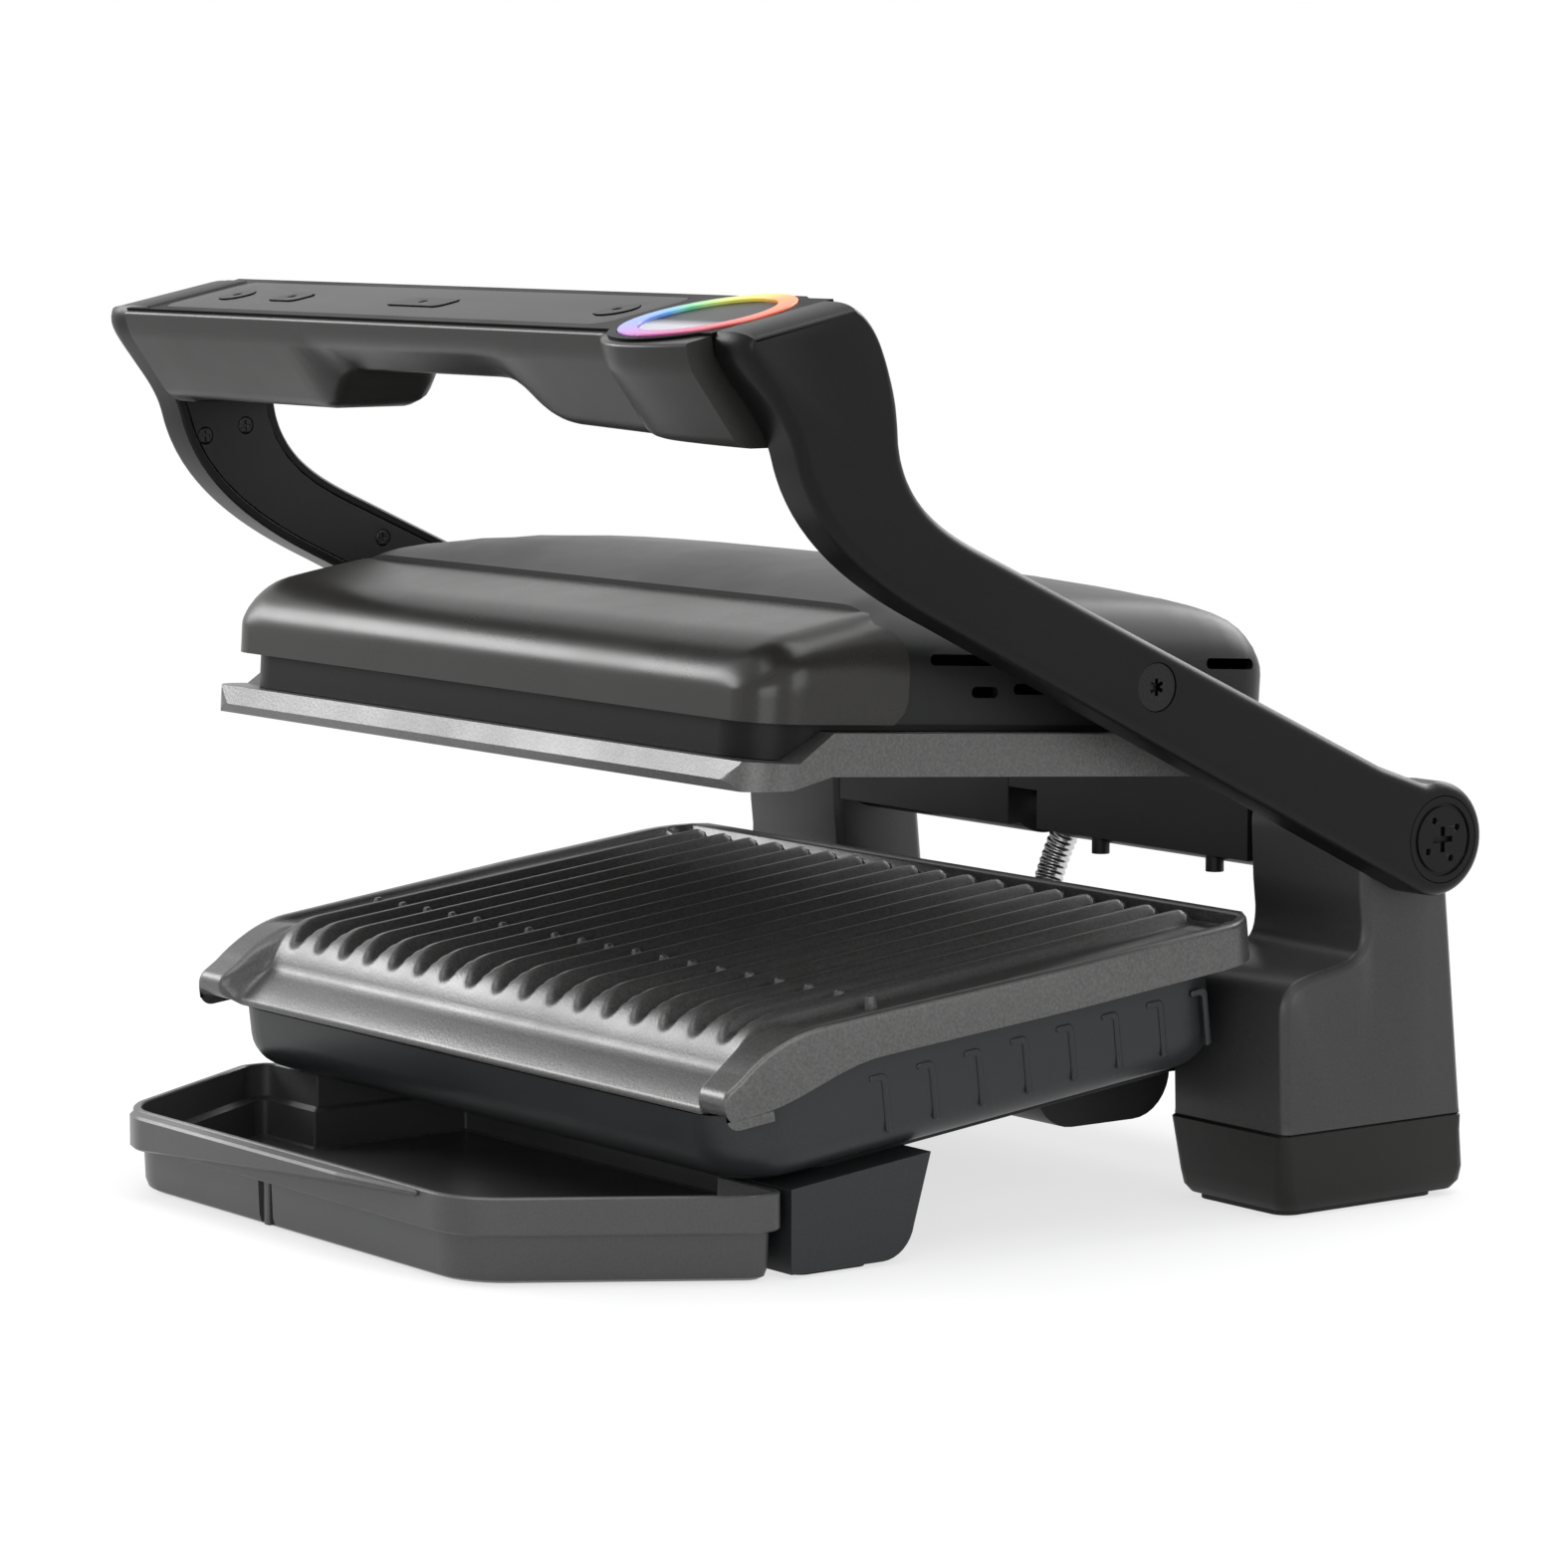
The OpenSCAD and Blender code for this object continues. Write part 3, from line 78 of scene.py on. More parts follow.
# %% Camera
VIEW_TURN = math.radians(53.516)
VIEW_DROP = math.radians(6.496)
CAMERA_RIGHT, CAMERA_BEFORE_HINGE, CAMERA_UP = 1.4237, 1.1744, 0.3287
SENSOR_WIDTH, FOCAL_LENGTH = 36.0, 125.98
bpy.context.scene.view_settings.view_transform = "Standard"
camera_data = bpy.data.cameras.new("camera")
camera_data.sensor_width = SENSOR_WIDTH
camera_data.lens = FOCAL_LENGTH
camera = bpy.data.objects.new("camera", camera_data)
bpy.context.scene.collection.objects.link(camera)
camera.location = (CAMERA_RIGHT, hinge.y - CAMERA_BEFORE_HINGE, CAMERA_UP)
look = Vector((-math.sin(VIEW_TURN) * math.cos(VIEW_DROP),
               math.cos(VIEW_TURN) * math.cos(VIEW_DROP), -math.sin(VIEW_DROP)))
camera.rotation_euler = look.to_track_quat("-Z", "Y").to_euler()
bpy.context.scene.camera = camera
print("camera at:", tuple(round(c, 3) for c in camera.location), "lens:", FOCAL_LENGTH, "mm")

# %% [markdown]
# ## The floor and the light
# The floor is a wide, plain, pale sheet. The camera, reflections and refractions see it and the
# world behind it as white, while both light the object no more than pale card would. A light path
# tells the rays apart, which leaves the lamps at a plain level.

# %% Materials and white rays
def material(name):
    made = bpy.data.materials.new(name)
    made.use_nodes = True
    return made, made.node_tree, made.node_tree.nodes["Principled BSDF"]


def set_sockets(shader, **values):
    for socket, value in values.items():
        shader.inputs[socket.replace("_", " ")].default_value = value


def white_rays(tree):
    """Adds up the rays for which a floor or a sky shows as white: seen, mirrored or refracted."""
    path = tree.nodes.new("ShaderNodeLightPath")
    total = path.outputs["Is Camera Ray"]
    for label in ("Is Glossy Ray", "Is Transmission Ray"):
        add = tree.nodes.new("ShaderNodeMath")
        add.operation = "ADD"
        add.use_clamp = True
        tree.links.new(total, add.inputs[0])
        tree.links.new(path.outputs[label], add.inputs[1])
        total = add.outputs[0]
    return total

# %% [markdown]
# Near the grill the floor shows a little of its own grey, so that the grill's shadow lies on it.
# Further out it fades to plain white, and no edge or horizon shows.

# %% Floor
FLOOR_HALF = 6.0
FADE_FROM, FADE_TO, WHITE_NEAR_GRILL = 0.25, 0.8, 0.7
floor_mat, floor_tree, floor_shader = material("pale_floor")
set_sockets(floor_shader, Base_Color=(0.9, 0.9, 0.9, 1), Roughness=0.8, Specular_IOR_Level=0.0)
floor_white = floor_tree.nodes.new("ShaderNodeEmission")
floor_place = floor_tree.nodes.new("ShaderNodeTexCoord")
floor_away = floor_tree.nodes.new("ShaderNodeVectorMath")
floor_away.operation = "LENGTH"
floor_tree.links.new(floor_place.outputs["Object"], floor_away.inputs[0])
floor_fade = floor_tree.nodes.new("ShaderNodeMapRange")
floor_fade.interpolation_type = "SMOOTHSTEP"
for label, value in (("From Min", FADE_FROM), ("From Max", FADE_TO), ("To Min", WHITE_NEAR_GRILL),
                     ("To Max", 1.0)):
    floor_fade.inputs[label].default_value = value
floor_tree.links.new(floor_away.outputs["Value"], floor_fade.inputs["Value"])
floor_share = floor_tree.nodes.new("ShaderNodeMath")
floor_share.operation = "MULTIPLY"
floor_tree.links.new(floor_fade.outputs["Result"], floor_share.inputs[0])
floor_tree.links.new(white_rays(floor_tree), floor_share.inputs[1])
floor_pick = floor_tree.nodes.new("ShaderNodeMixShader")
floor_tree.links.new(floor_share.outputs[0], floor_pick.inputs["Fac"])
floor_tree.links.new(floor_shader.outputs["BSDF"], floor_pick.inputs[1])
floor_tree.links.new(floor_white.outputs["Emission"], floor_pick.inputs[2])
floor_tree.links.new(floor_pick.outputs["Shader"], floor_tree.nodes["Material Output"].inputs["Surface"])
floor_mesh = bpy.data.meshes.new("floor")
floor_corners = [(-FLOOR_HALF, -FLOOR_HALF, 0), (FLOOR_HALF, -FLOOR_HALF, 0),
                 (FLOOR_HALF, FLOOR_HALF, 0), (-FLOOR_HALF, FLOOR_HALF, 0)]
floor_mesh.from_pydata(floor_corners, [], [(0, 1, 2, 3)])
floor = bpy.data.objects.new("floor", floor_mesh)
bpy.context.scene.collection.objects.link(floor)
floor_mesh.materials.append(floor_mat)
print("floor:", 2 * FLOOR_HALF, "m wide, white from", FADE_TO, "m")

# %% [markdown]
# The world gives a faint, slightly cool light from all sides, as the walls of a studio do. To the
# camera and in reflections it is white, as the floor is.

# %% World
SKY_TINT, SKY_STRENGTH = (0.95, 0.97, 1.0, 1), 0.35
world = bpy.data.worlds.new("studio")
bpy.context.scene.world = world
world.use_nodes = True
sky = world.node_tree
sky_light = sky.nodes["Background"]
sky_light.inputs["Color"].default_value = SKY_TINT
sky_light.inputs["Strength"].default_value = SKY_STRENGTH
sky_white = sky.nodes.new("ShaderNodeBackground")
sky_white.inputs["Color"].default_value = (1, 1, 1, 1)
sky_white.inputs["Strength"].default_value = 1.0
sky_pick = sky.nodes.new("ShaderNodeMixShader")
sky.links.new(white_rays(sky), sky_pick.inputs["Fac"])
sky.links.new(sky_light.outputs["Background"], sky_pick.inputs[1])
sky.links.new(sky_white.outputs["Background"], sky_pick.inputs[2])
sky.links.new(sky_pick.outputs["Shader"], sky.nodes["World Output"].inputs["Surface"])
print("world strength:", SKY_STRENGTH)

# %% [markdown]
# Dark plastic shows its form almost only by what it mirrors. Large soft lamps give it broad, soft
# highlights: one overhead for the tops, two in front for the ribs and the handle, one on the
# right for the arm, and one behind that draws a bright line along the rear edges.

# %% Lamps
def softbox(name, place, aim, size, power):
    lamp = bpy.data.lights.new(name, "AREA")
    lamp.shape = "RECTANGLE"
    lamp.size, lamp.size_y = size
    lamp.energy = power
    holder = bpy.data.objects.new(name, lamp)
    bpy.context.scene.collection.objects.link(holder)
    holder.location = place
    holder.rotation_euler = (Vector(aim) - Vector(place)).to_track_quat("-Z", "Y").to_euler()
    print("lamp", name, power, "W")


CENTRE, PLATE_AIM = (0.0, 0.0, 0.14), (0.0, -0.05, 0.09)
softbox("overhead", (0.1, -0.1, 1.7), CENTRE, (1.8, 1.4), 30)
softbox("left_front", (-1.75, -1.0, 1.0), CENTRE, (1.3, 0.6), 26)
softbox("right_side", (2.2, 0.3, 0.9), CENTRE, (1.0, 1.4), 14)
softbox("front_fill", (1.5, -1.9, 0.5), PLATE_AIM, (1.4, 0.6), 14)
softbox("rear_rim", (-0.3, 1.8, 1.2), CENTRE, (1.6, 0.8), 22)

# %% [markdown]
# ## Finishes
# A moulded plastic is never quite even: its mould was spark-eroded, which leaves a fine grain, and
# handling polishes it in patches. Both effects are used by many materials here, so each is a node
# group that is built once and placed with its own values.

# %% Node groups for grain and handling
def node_group(name, inputs, outputs):
    group = bpy.data.node_groups.new(name, "ShaderNodeTree")
    for label, kind, value in inputs:
        socket = group.interface.new_socket(label, in_out="INPUT", socket_type=kind)
        socket.default_value = value
    for label, kind in outputs:
        group.interface.new_socket(label, in_out="OUTPUT", socket_type=kind)
    enter = group.nodes.new("NodeGroupInput")
    leave = group.nodes.new("NodeGroupOutput")
    return group, enter, leave


def noise(tree, scale_from, vector, detail=2.0, roughness=0.5):
    made = tree.nodes.new("ShaderNodeTexNoise")
    made.inputs["Detail"].default_value = detail
    made.inputs["Roughness"].default_value = roughness
    tree.links.new(vector, made.inputs["Vector"])
    if isinstance(scale_from, (int, float)):
        made.inputs["Scale"].default_value = scale_from
    else:
        tree.links.new(scale_from, made.inputs["Scale"])
    return made.outputs["Fac"]


def remap(tree, value, low, high, to_low, to_high):
    made = tree.nodes.new("ShaderNodeMapRange")
    tree.links.new(value, made.inputs["Value"])
    made.inputs["From Min"].default_value = low
    made.inputs["From Max"].default_value = high
    for label, end in (("To Min", to_low), ("To Max", to_high)):
        if isinstance(end, (int, float)):
            made.inputs[label].default_value = end
        else:
            tree.links.new(end, made.inputs[label])
    return made.outputs["Result"]


grain, grain_in, grain_out = node_group(
    "moulded grain",
    [("Grain Size", "NodeSocketFloat", 0.0006), ("Roughness Low", "NodeSocketFloat", 0.35),
     ("Roughness High", "NodeSocketFloat", 0.5), ("Dark", "NodeSocketColor", (0.01, 0.01, 0.01, 1)),
     ("Light", "NodeSocketColor", (0.02, 0.02, 0.02, 1))],
    [("Colour", "NodeSocketColor"), ("Roughness", "NodeSocketFloat"), ("Height", "NodeSocketFloat")])
place = grain.nodes.new("ShaderNodeTexCoord").outputs["Object"]
inverse = grain.nodes.new("ShaderNodeMath")
inverse.operation = "DIVIDE"
inverse.inputs[0].default_value = 1.0
grain.links.new(grain_in.outputs["Grain Size"], inverse.inputs[1])
fine = noise(grain, inverse.outputs[0], place, detail=3.0, roughness=0.6)
patches = noise(grain, 14.0, place, detail=4.0, roughness=0.62)
grain.links.new(fine, grain_out.inputs["Height"])
grain.links.new(remap(grain, patches, 0.35, 0.68, grain_in.outputs["Roughness Low"],
                      grain_in.outputs["Roughness High"]), grain_out.inputs["Roughness"])
tint = grain.nodes.new("ShaderNodeMix")
tint.data_type = "RGBA"
grain.links.new(remap(grain, fine, 0.3, 0.7, 0.0, 1.0), tint.inputs["Factor"])
grain.links.new(grain_in.outputs["Dark"], tint.inputs[6])
grain.links.new(grain_in.outputs["Light"], tint.inputs[7])
grain.links.new(tint.outputs[2], grain_out.inputs["Colour"])
print("node group:", grain.name, "with", len(grain.nodes), "nodes")

# %% [markdown]
# Each finish is a Principled material that takes its colour, roughness and bump from the group.
# Its two colours lie close together, because the grain of a mould shows more by its sheen than by
# its colour. The finishes are kept by the name of the slot that they fill.

# %% A finish from the grain
finishes = {}


def grey(value, warm=0.0):
    return (value * (1 + warm), value, value * (1 - warm))


def moulded(name, dark, light, rough=(0.35, 0.5), grain_size=0.0006, depth=0.00004, **sockets):
    made, tree, shader = material(name)
    finish = tree.nodes.new("ShaderNodeGroup")
    finish.node_tree = grain
    finish.inputs["Grain Size"].default_value = grain_size
    finish.inputs["Roughness Low"].default_value = rough[0]
    finish.inputs["Roughness High"].default_value = rough[1]
    finish.inputs["Dark"].default_value = (*dark, 1)
    finish.inputs["Light"].default_value = (*light, 1)
    tree.links.new(finish.outputs["Colour"], shader.inputs["Base Color"])
    tree.links.new(finish.outputs["Roughness"], shader.inputs["Roughness"])
    bump = tree.nodes.new("ShaderNodeBump")
    bump.inputs["Strength"].default_value = 0.6
    bump.inputs["Distance"].default_value = depth
    tree.links.new(finish.outputs["Height"], bump.inputs["Height"])
    tree.links.new(bump.outputs["Normal"], shader.inputs["Normal"])
    set_sockets(shader, **sockets)
    finishes[name] = made

# %% [markdown]
# The outside is nearly all dark plastic. Its blacks differ a little from piece to piece, in
# warmth, lightness and sheen, and that keeps the pieces apart for the eye. A low specular level
# stops the white studio from washing them out.

# %% Plastics of the outside
moulded("arm_plastic", grey(0.0028), grey(0.0045), rough=(0.3, 0.4), Specular_IOR_Level=0.15)
moulded("liner_plastic", grey(0.007), grey(0.011), rough=(0.4, 0.5), Specular_IOR_Level=0.22)
moulded("handle_plastic", grey(0.01, 0.05), grey(0.015, 0.05), rough=(0.3, 0.4), Specular_IOR_Level=0.3)
moulded("deck_plastic", grey(0.003), grey(0.0045), rough=(0.3, 0.4), depth=0.00002, Specular_IOR_Level=0.02)
moulded("panel_gloss", grey(0.002), grey(0.003), rough=(0.1, 0.16), depth=0.000005,
        Specular_IOR_Level=0.015)
moulded("button_plastic", grey(0.0025), grey(0.0035), rough=(0.15, 0.22), depth=0.00001,
        Specular_IOR_Level=0.015)
moulded("lid_plastic", grey(0.0045, -0.03), grey(0.0065, -0.03), rough=(0.34, 0.44),
        Specular_IOR_Level=0.25)
moulded("cover_metal", grey(0.014, 0.06), grey(0.02, 0.06), rough=(0.26, 0.34), depth=0.00002,
        Specular_IOR_Level=0.3)
moulded("frame_plastic", grey(0.003), grey(0.005), rough=(0.35, 0.45), Specular_IOR_Level=0.14)
moulded("tub_plastic", grey(0.014, -0.08), grey(0.02, -0.08), rough=(0.34, 0.44), Specular_IOR_Level=0.3)
moulded("tower_plastic", grey(0.024), grey(0.034), rough=(0.34, 0.44), Specular_IOR_Level=0.32)
moulded("shoe_plastic", grey(0.006, 0.08), grey(0.009, 0.08), rough=(0.35, 0.45), Specular_IOR_Level=0.22)
moulded("black_plastic", grey(0.004), grey(0.007), rough=(0.4, 0.5), Specular_IOR_Level=0.22)
moulded("crossbar_plastic", grey(0.006), grey(0.01), rough=(0.4, 0.5), Specular_IOR_Level=0.24)
moulded("key_plastic", grey(0.01), grey(0.015), rough=(0.25, 0.35), Specular_IOR_Level=0.3)
moulded("tray_plastic", grey(0.04), grey(0.055), rough=(0.3, 0.4), Specular_IOR_Level=0.38)
print("outside plastics:", len(finishes))

# %% [markdown]
# The plate's coating has a coarser grain than the plastics and mirrors more. Rubber is matt. The
# lens and the ring get their colours in the cells that follow.

# %% Rubber, coating, lens and ring
moulded("pad_rubber", grey(0.008), grey(0.014), rough=(0.7, 0.85), grain_size=0.001)
moulded("inlet_rubber", grey(0.008), grey(0.014), rough=(0.6, 0.75), grain_size=0.001)
moulded("lens_smoke", grey(0.2), grey(0.25), rough=(0.2, 0.3), depth=0.000005, Specular_IOR_Level=0.03)
moulded("nonstick_plate", grey(0.032, 0.02), grey(0.075, 0.02), rough=(0.28, 0.4), grain_size=0.0009,
        depth=0.0001, Specular_IOR_Level=0.6)
moulded("ring_colours", (0.5, 0.4, 0.1), (0.6, 0.5, 0.2), rough=(0.2, 0.3))
print("with rubber, coating, lens and ring:", len(finishes))

# %% [markdown]
# Hidden pieces get honest finishes too, since someone may take the grill apart: green boards,
# brass bushes and black screws here, and plain steels and aluminium from one short list.

# %% Finishes inside, and metals
moulded("circuit_board", (0.01, 0.08, 0.03), (0.02, 0.14, 0.05), rough=(0.3, 0.4))
moulded("terminal_plastic", (0.65, 0.64, 0.58), (0.75, 0.74, 0.68), rough=(0.4, 0.5))
moulded("bush_brass", (0.55, 0.4, 0.17), (0.65, 0.48, 0.22), rough=(0.25, 0.4), Metallic=1.0)
moulded("sensor_brass", (0.55, 0.42, 0.2), (0.65, 0.5, 0.26), rough=(0.25, 0.4), Metallic=1.0)
moulded("black_screw", grey(0.02), grey(0.035), rough=(0.3, 0.45), Metallic=1.0)
METALS = (("washer_steel", 0.5, (0.25, 0.4)), ("screw_steel", 0.5, (0.25, 0.4)),
          ("heater_metal", 0.28, (0.4, 0.55)), ("reflector_aluminium", 0.7, (0.15, 0.3)),
          ("fuse_metal", 0.6, (0.25, 0.35)), ("shaft_steel", 0.55, (0.2, 0.3)),
          ("bar_steel", 0.45, (0.35, 0.5)), ("conduit_steel", 0.6, (0.2, 0.35)))
for metal, value, rough in METALS:
    moulded(metal, grey(value * 0.9), grey(value), rough=rough, Metallic=1.0)
print("finishes:", len(finishes))

# %% [markdown]
# The indicator ring runs through its cooking colours once around: blue, green, yellow, orange and
# red, and back over purple. The angle round the ring's own centre picks the colour.

# %% Colours round the ring
ring_tree = finishes["ring_colours"].node_tree
ring_corners = [Vector(corner) for corner in nodes["indicator_ring"].bound_box]
ring_centre = sum(ring_corners, Vector()) / len(ring_corners)
ring_place = ring_tree.nodes.new("ShaderNodeTexCoord").outputs["Object"]
ring_shift = ring_tree.nodes.new("ShaderNodeVectorMath")
ring_shift.operation = "SUBTRACT"
ring_shift.inputs[1].default_value = ring_centre
ring_tree.links.new(ring_place, ring_shift.inputs[0])
ring_axes = ring_tree.nodes.new("ShaderNodeSeparateXYZ")
ring_tree.links.new(ring_shift.outputs["Vector"], ring_axes.inputs["Vector"])
ring_turn = ring_tree.nodes.new("ShaderNodeMath")
ring_turn.operation = "ARCTAN2"
ring_tree.links.new(ring_axes.outputs["Y"], ring_turn.inputs[0])
ring_tree.links.new(ring_axes.outputs["X"], ring_turn.inputs[1])
ring_share = remap(ring_tree, ring_turn.outputs[0], -math.pi, math.pi, 0.0, 1.0)
ring_ramp = ring_tree.nodes.new("ShaderNodeValToRGB")
RING_STOPS = ((0.0, (0.10, 0.30, 0.75)), (0.12, (0.20, 0.22, 0.70)), (0.22, (0.42, 0.12, 0.45)),
              (0.34, (0.45, 0.06, 0.20)), (0.44, (0.62, 0.07, 0.06)), (0.56, (0.75, 0.12, 0.03)),
              (0.68, (0.80, 0.24, 0.03)), (0.78, (0.80, 0.58, 0.06)), (0.87, (0.50, 0.62, 0.10)),
              (0.94, (0.10, 0.50, 0.25)), (1.0, (0.10, 0.30, 0.75)))
ring_ramp.color_ramp.elements[0].position = 0.0
ring_ramp.color_ramp.elements[0].color = (*RING_STOPS[0][1], 1)
ring_ramp.color_ramp.elements[1].position = 1.0
ring_ramp.color_ramp.elements[1].color = (*RING_STOPS[-1][1], 1)
for place_on_ring, colour in RING_STOPS[1:-1]:
    stop = ring_ramp.color_ramp.elements.new(place_on_ring)
    stop.color = (*colour, 1)
ring_tree.links.new(ring_share, ring_ramp.inputs["Fac"])
ring_tree.links.new(ring_ramp.outputs["Color"], ring_tree.nodes["Principled BSDF"].inputs["Base Color"])
print("ring centre:", tuple(round(c, 4) for c in ring_centre), "colour stops:", len(RING_STOPS))

# %% [markdown]
# Inside the ring sits a smoked lens over the lamp. A painted reflection makes its front half pale; its back
# half is dark.

# %% Lens over the lamp
# The pale colour is a painted reflection, not the lens's own colour. It fades out towards the back of the
# lens.
PALE_BEFORE, DARK_BEFORE = 0.011, 0.004
LENS_DARK, LENS_PAINTED_REFLECTION = (0.012, 0.012, 0.013, 1), (0.42, 0.42, 0.45, 1)
lens_tree = finishes["lens_smoke"].node_tree
lens_axes = lens_tree.nodes.new("ShaderNodeSeparateXYZ")
lens_tree.links.new(lens_tree.nodes.new("ShaderNodeTexCoord").outputs["Object"], lens_axes.inputs["Vector"])
lens_reflection_share = remap(lens_tree, lens_axes.outputs["Y"], ring_centre.y - PALE_BEFORE,
                  ring_centre.y - DARK_BEFORE, 1.0, 0.0)
lens_painted_reflection = lens_tree.nodes.new("ShaderNodeMix")
lens_painted_reflection.data_type = "RGBA"
lens_painted_reflection.inputs[6].default_value = LENS_DARK
lens_painted_reflection.inputs[7].default_value = LENS_PAINTED_REFLECTION
lens_tree.links.new(lens_reflection_share, lens_painted_reflection.inputs["Factor"])
lens_tree.links.new(lens_painted_reflection.outputs[2], lens_tree.nodes["Principled BSDF"].inputs["Base Color"])
print("lens fades over", round((PALE_BEFORE - DARK_BEFORE) * 1000, 1), "mm")

# %% [markdown]
# Every piece of the frame gets the finish of its own slot. The frame's meshes have knife-sharp
# edges, and no moulding has those: a weld and a small bevel give each edge the highlight that
# tells the eye its material and size.

# %% Dress the frame's own pieces
slots = {part["node"]: part["material_slot"] for part in frame["record"]["subparts"]}
SHARP = math.radians(32)


def soften(piece, width, segments):
    weld = piece.modifiers.new("weld", "WELD")
    weld.merge_threshold = 0.00001
    bevel = piece.modifiers.new("round_edges", "BEVEL")
    bevel.width = width
    bevel.segments = segments
    bevel.limit_method = "ANGLE"
    bevel.angle_limit = SHARP
    bevel.harden_normals = False
    bevel.use_clamp_overlap = True
    normals = piece.modifiers.new("even_shading", "WEIGHTED_NORMAL")
    normals.keep_sharp = False


FINE_EDGE = 0.0003
EDGE = {
    "front_foot_left": 0.0045, "front_foot_right": 0.0045, "handle_deck": 0.0008,
    "lid_frame": 0.0008, "upper_plate": 0.0012, "base_frame": 0.002,
}
for name, piece in nodes.items():
    finish = finishes[slots[name]]
    if piece.material_slots:
        for slot in piece.material_slots:
            slot.material = finish
    else:
        piece.data.materials.append(finish)
    soften(piece, EDGE.get(name, FINE_EDGE), 3 if name in EDGE else 1)
print("dressed:", len(nodes))

# %% [markdown]
# ## Building blocks for the new pieces
# Some forms are softer than a frame of exact solids can show: the waterfall of the ribs, the
# pillow of the lid, the S-shaped arms. They are rebuilt here as dense meshes from the same sizes.
# A piece is either a skin over a stack of closed rings, or a sheet over a grid of points.

# %% Frames and outlines
def placed(y, z, turn=0.0):
    """A frame that takes millimetres: y counts from the hinge axis and z from the table."""
    shift = Matrix.Translation((0, hinge.y + y * MM, z * MM))
    return shift @ Matrix.Rotation(turn, 4, "X") @ Matrix.Scale(MM, 4)


PIVOT_Y, PIVOT_Z = (pivot.y - hinge.y) / MM, pivot.z / MM
TABLE = placed(0, 0)
PLATE = placed(-148, 86, PLATE_TILT)
LID = placed(PIVOT_Y, PIVOT_Z, -LID_PITCH)


def step(low, high, value):
    """0 below low, 1 above high, and smooth between."""
    t = min(max((value - low) / (high - low), 0.0), 1.0)
    return t * t * (3 - 2 * t)


def bezier(a, b, c, d, count=16):
    """Points along a cubic curve, without its last point."""
    a, b, c, d = Vector(a), Vector(b), Vector(c), Vector(d)
    return [(1 - t) ** 3 * a + 3 * t * (1 - t) ** 2 * b + 3 * t * t * (1 - t) * c + t ** 3 * d
            for t in (i / count for i in range(count))]


def arc(centre, radius, start, stop, count=12):
    """Points along a round arc, with angles in degrees."""
    turns = [math.radians(start + (stop - start) * i / count) for i in range(count + 1)]
    return [Vector(centre) + radius * Vector((math.cos(t), math.sin(t))) for t in turns]


def inset(outline, distance):
    """Draws an anticlockwise outline in by a distance, or by one distance for each point."""
    drawn = []
    for i, point in enumerate(outline):
        along = outline[(i + 1) % len(outline)] - outline[i - 1]
        normal = Vector((-along.y, along.x)).normalized()
        drawn.append(point + normal * (distance[i] if isinstance(distance, list) else distance))
    return drawn


def even(outline, spacing):
    """Spaces the points of a closed outline evenly."""
    loop = outline + [outline[0]]
    lengths = [0.0]
    for a, b in zip(loop, loop[1:]):
        lengths.append(lengths[-1] + (b - a).length)
    count = round(lengths[-1] / spacing)
    points, k = [], 0
    for i in range(count):
        target = lengths[-1] * i / count
        while lengths[k + 1] < target:
            k += 1
        share = (target - lengths[k]) / max(lengths[k + 1] - lengths[k], 1e-9)
        points.append(loop[k].lerp(loop[k + 1], share))
    return points

# %% [markdown]
# A skin joins closed rings, as the ribs of a boat carry its planks, and closes both ends. The
# piece made from it is cleaned, shaded smooth except at its sharp edges, given its finish, and hung
# on the body that it moves with.

# %% Skins and pieces
def skin(rings):
    """Faces over a stack of closed rings of 3-D points, with a cap at each end."""
    count = len(rings[0])
    verts = [point for ring in rings for point in ring]
    faces = []
    for start in range(0, (len(rings) - 1) * count, count):
        for i in range(count):
            j = (i + 1) % count
            faces.append((start + i, start + j, start + count + j, start + count + i))
    faces.append(tuple(range(count)))
    faces.append(tuple((len(rings) - 1) * count + i for i in range(count)))
    return verts, faces


def new_piece(name, form, place, body, slot_name, replaced=(), mirrored=False, crease=SHARP):
    """Makes a mesh piece from a skin or grid, and hangs it on its body if it has one."""
    verts, faces = form
    mesh = bpy.data.meshes.new(name)
    if mirrored:
        verts = [(-v[0], v[1], v[2]) for v in verts]
    mesh.from_pydata([place @ Vector(v) for v in verts], [], faces)
    shape = bmesh.new()
    shape.from_mesh(mesh)
    bmesh.ops.remove_doubles(shape, verts=shape.verts, dist=0.00001)
    bmesh.ops.dissolve_degenerate(shape, edges=shape.edges, dist=0.000005)
    bmesh.ops.recalc_face_normals(shape, faces=shape.faces)
    shape.to_mesh(mesh)
    shape.free()
    mesh.shade_smooth()
    mesh.set_sharp_from_angle(angle=crease)
    piece = bpy.data.objects.new(name, mesh)
    bpy.context.scene.collection.objects.link(piece)
    mesh.materials.append(finishes[slot_name])
    if body:
        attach(piece, body)
    if replaced:
        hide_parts(*replaced)
    return piece


def joined(forms):
    """Several skins as one form."""
    verts, faces = [], []
    for form_verts, form_faces in forms:
        faces += [tuple(len(verts) + i for i in face) for face in form_faces]
        verts += form_verts
    return verts, faces

# %% [markdown]
# Recesses and vents are cut out afterwards, as the cores of a mould would do. Applying the cut at
# once keeps the piece a plain mesh, which the joints can carry.

# %% Cutting
def applied(piece, crease=SHARP):
    """Turns a piece's modifiers into its mesh."""
    bpy.context.view_layer.update()
    seen = piece.evaluated_get(bpy.context.evaluated_depsgraph_get())
    mesh = bpy.data.meshes.new_from_object(seen)
    piece.modifiers.clear()
    piece.data = mesh
    mesh.shade_smooth()
    mesh.set_sharp_from_angle(angle=crease)
    return piece


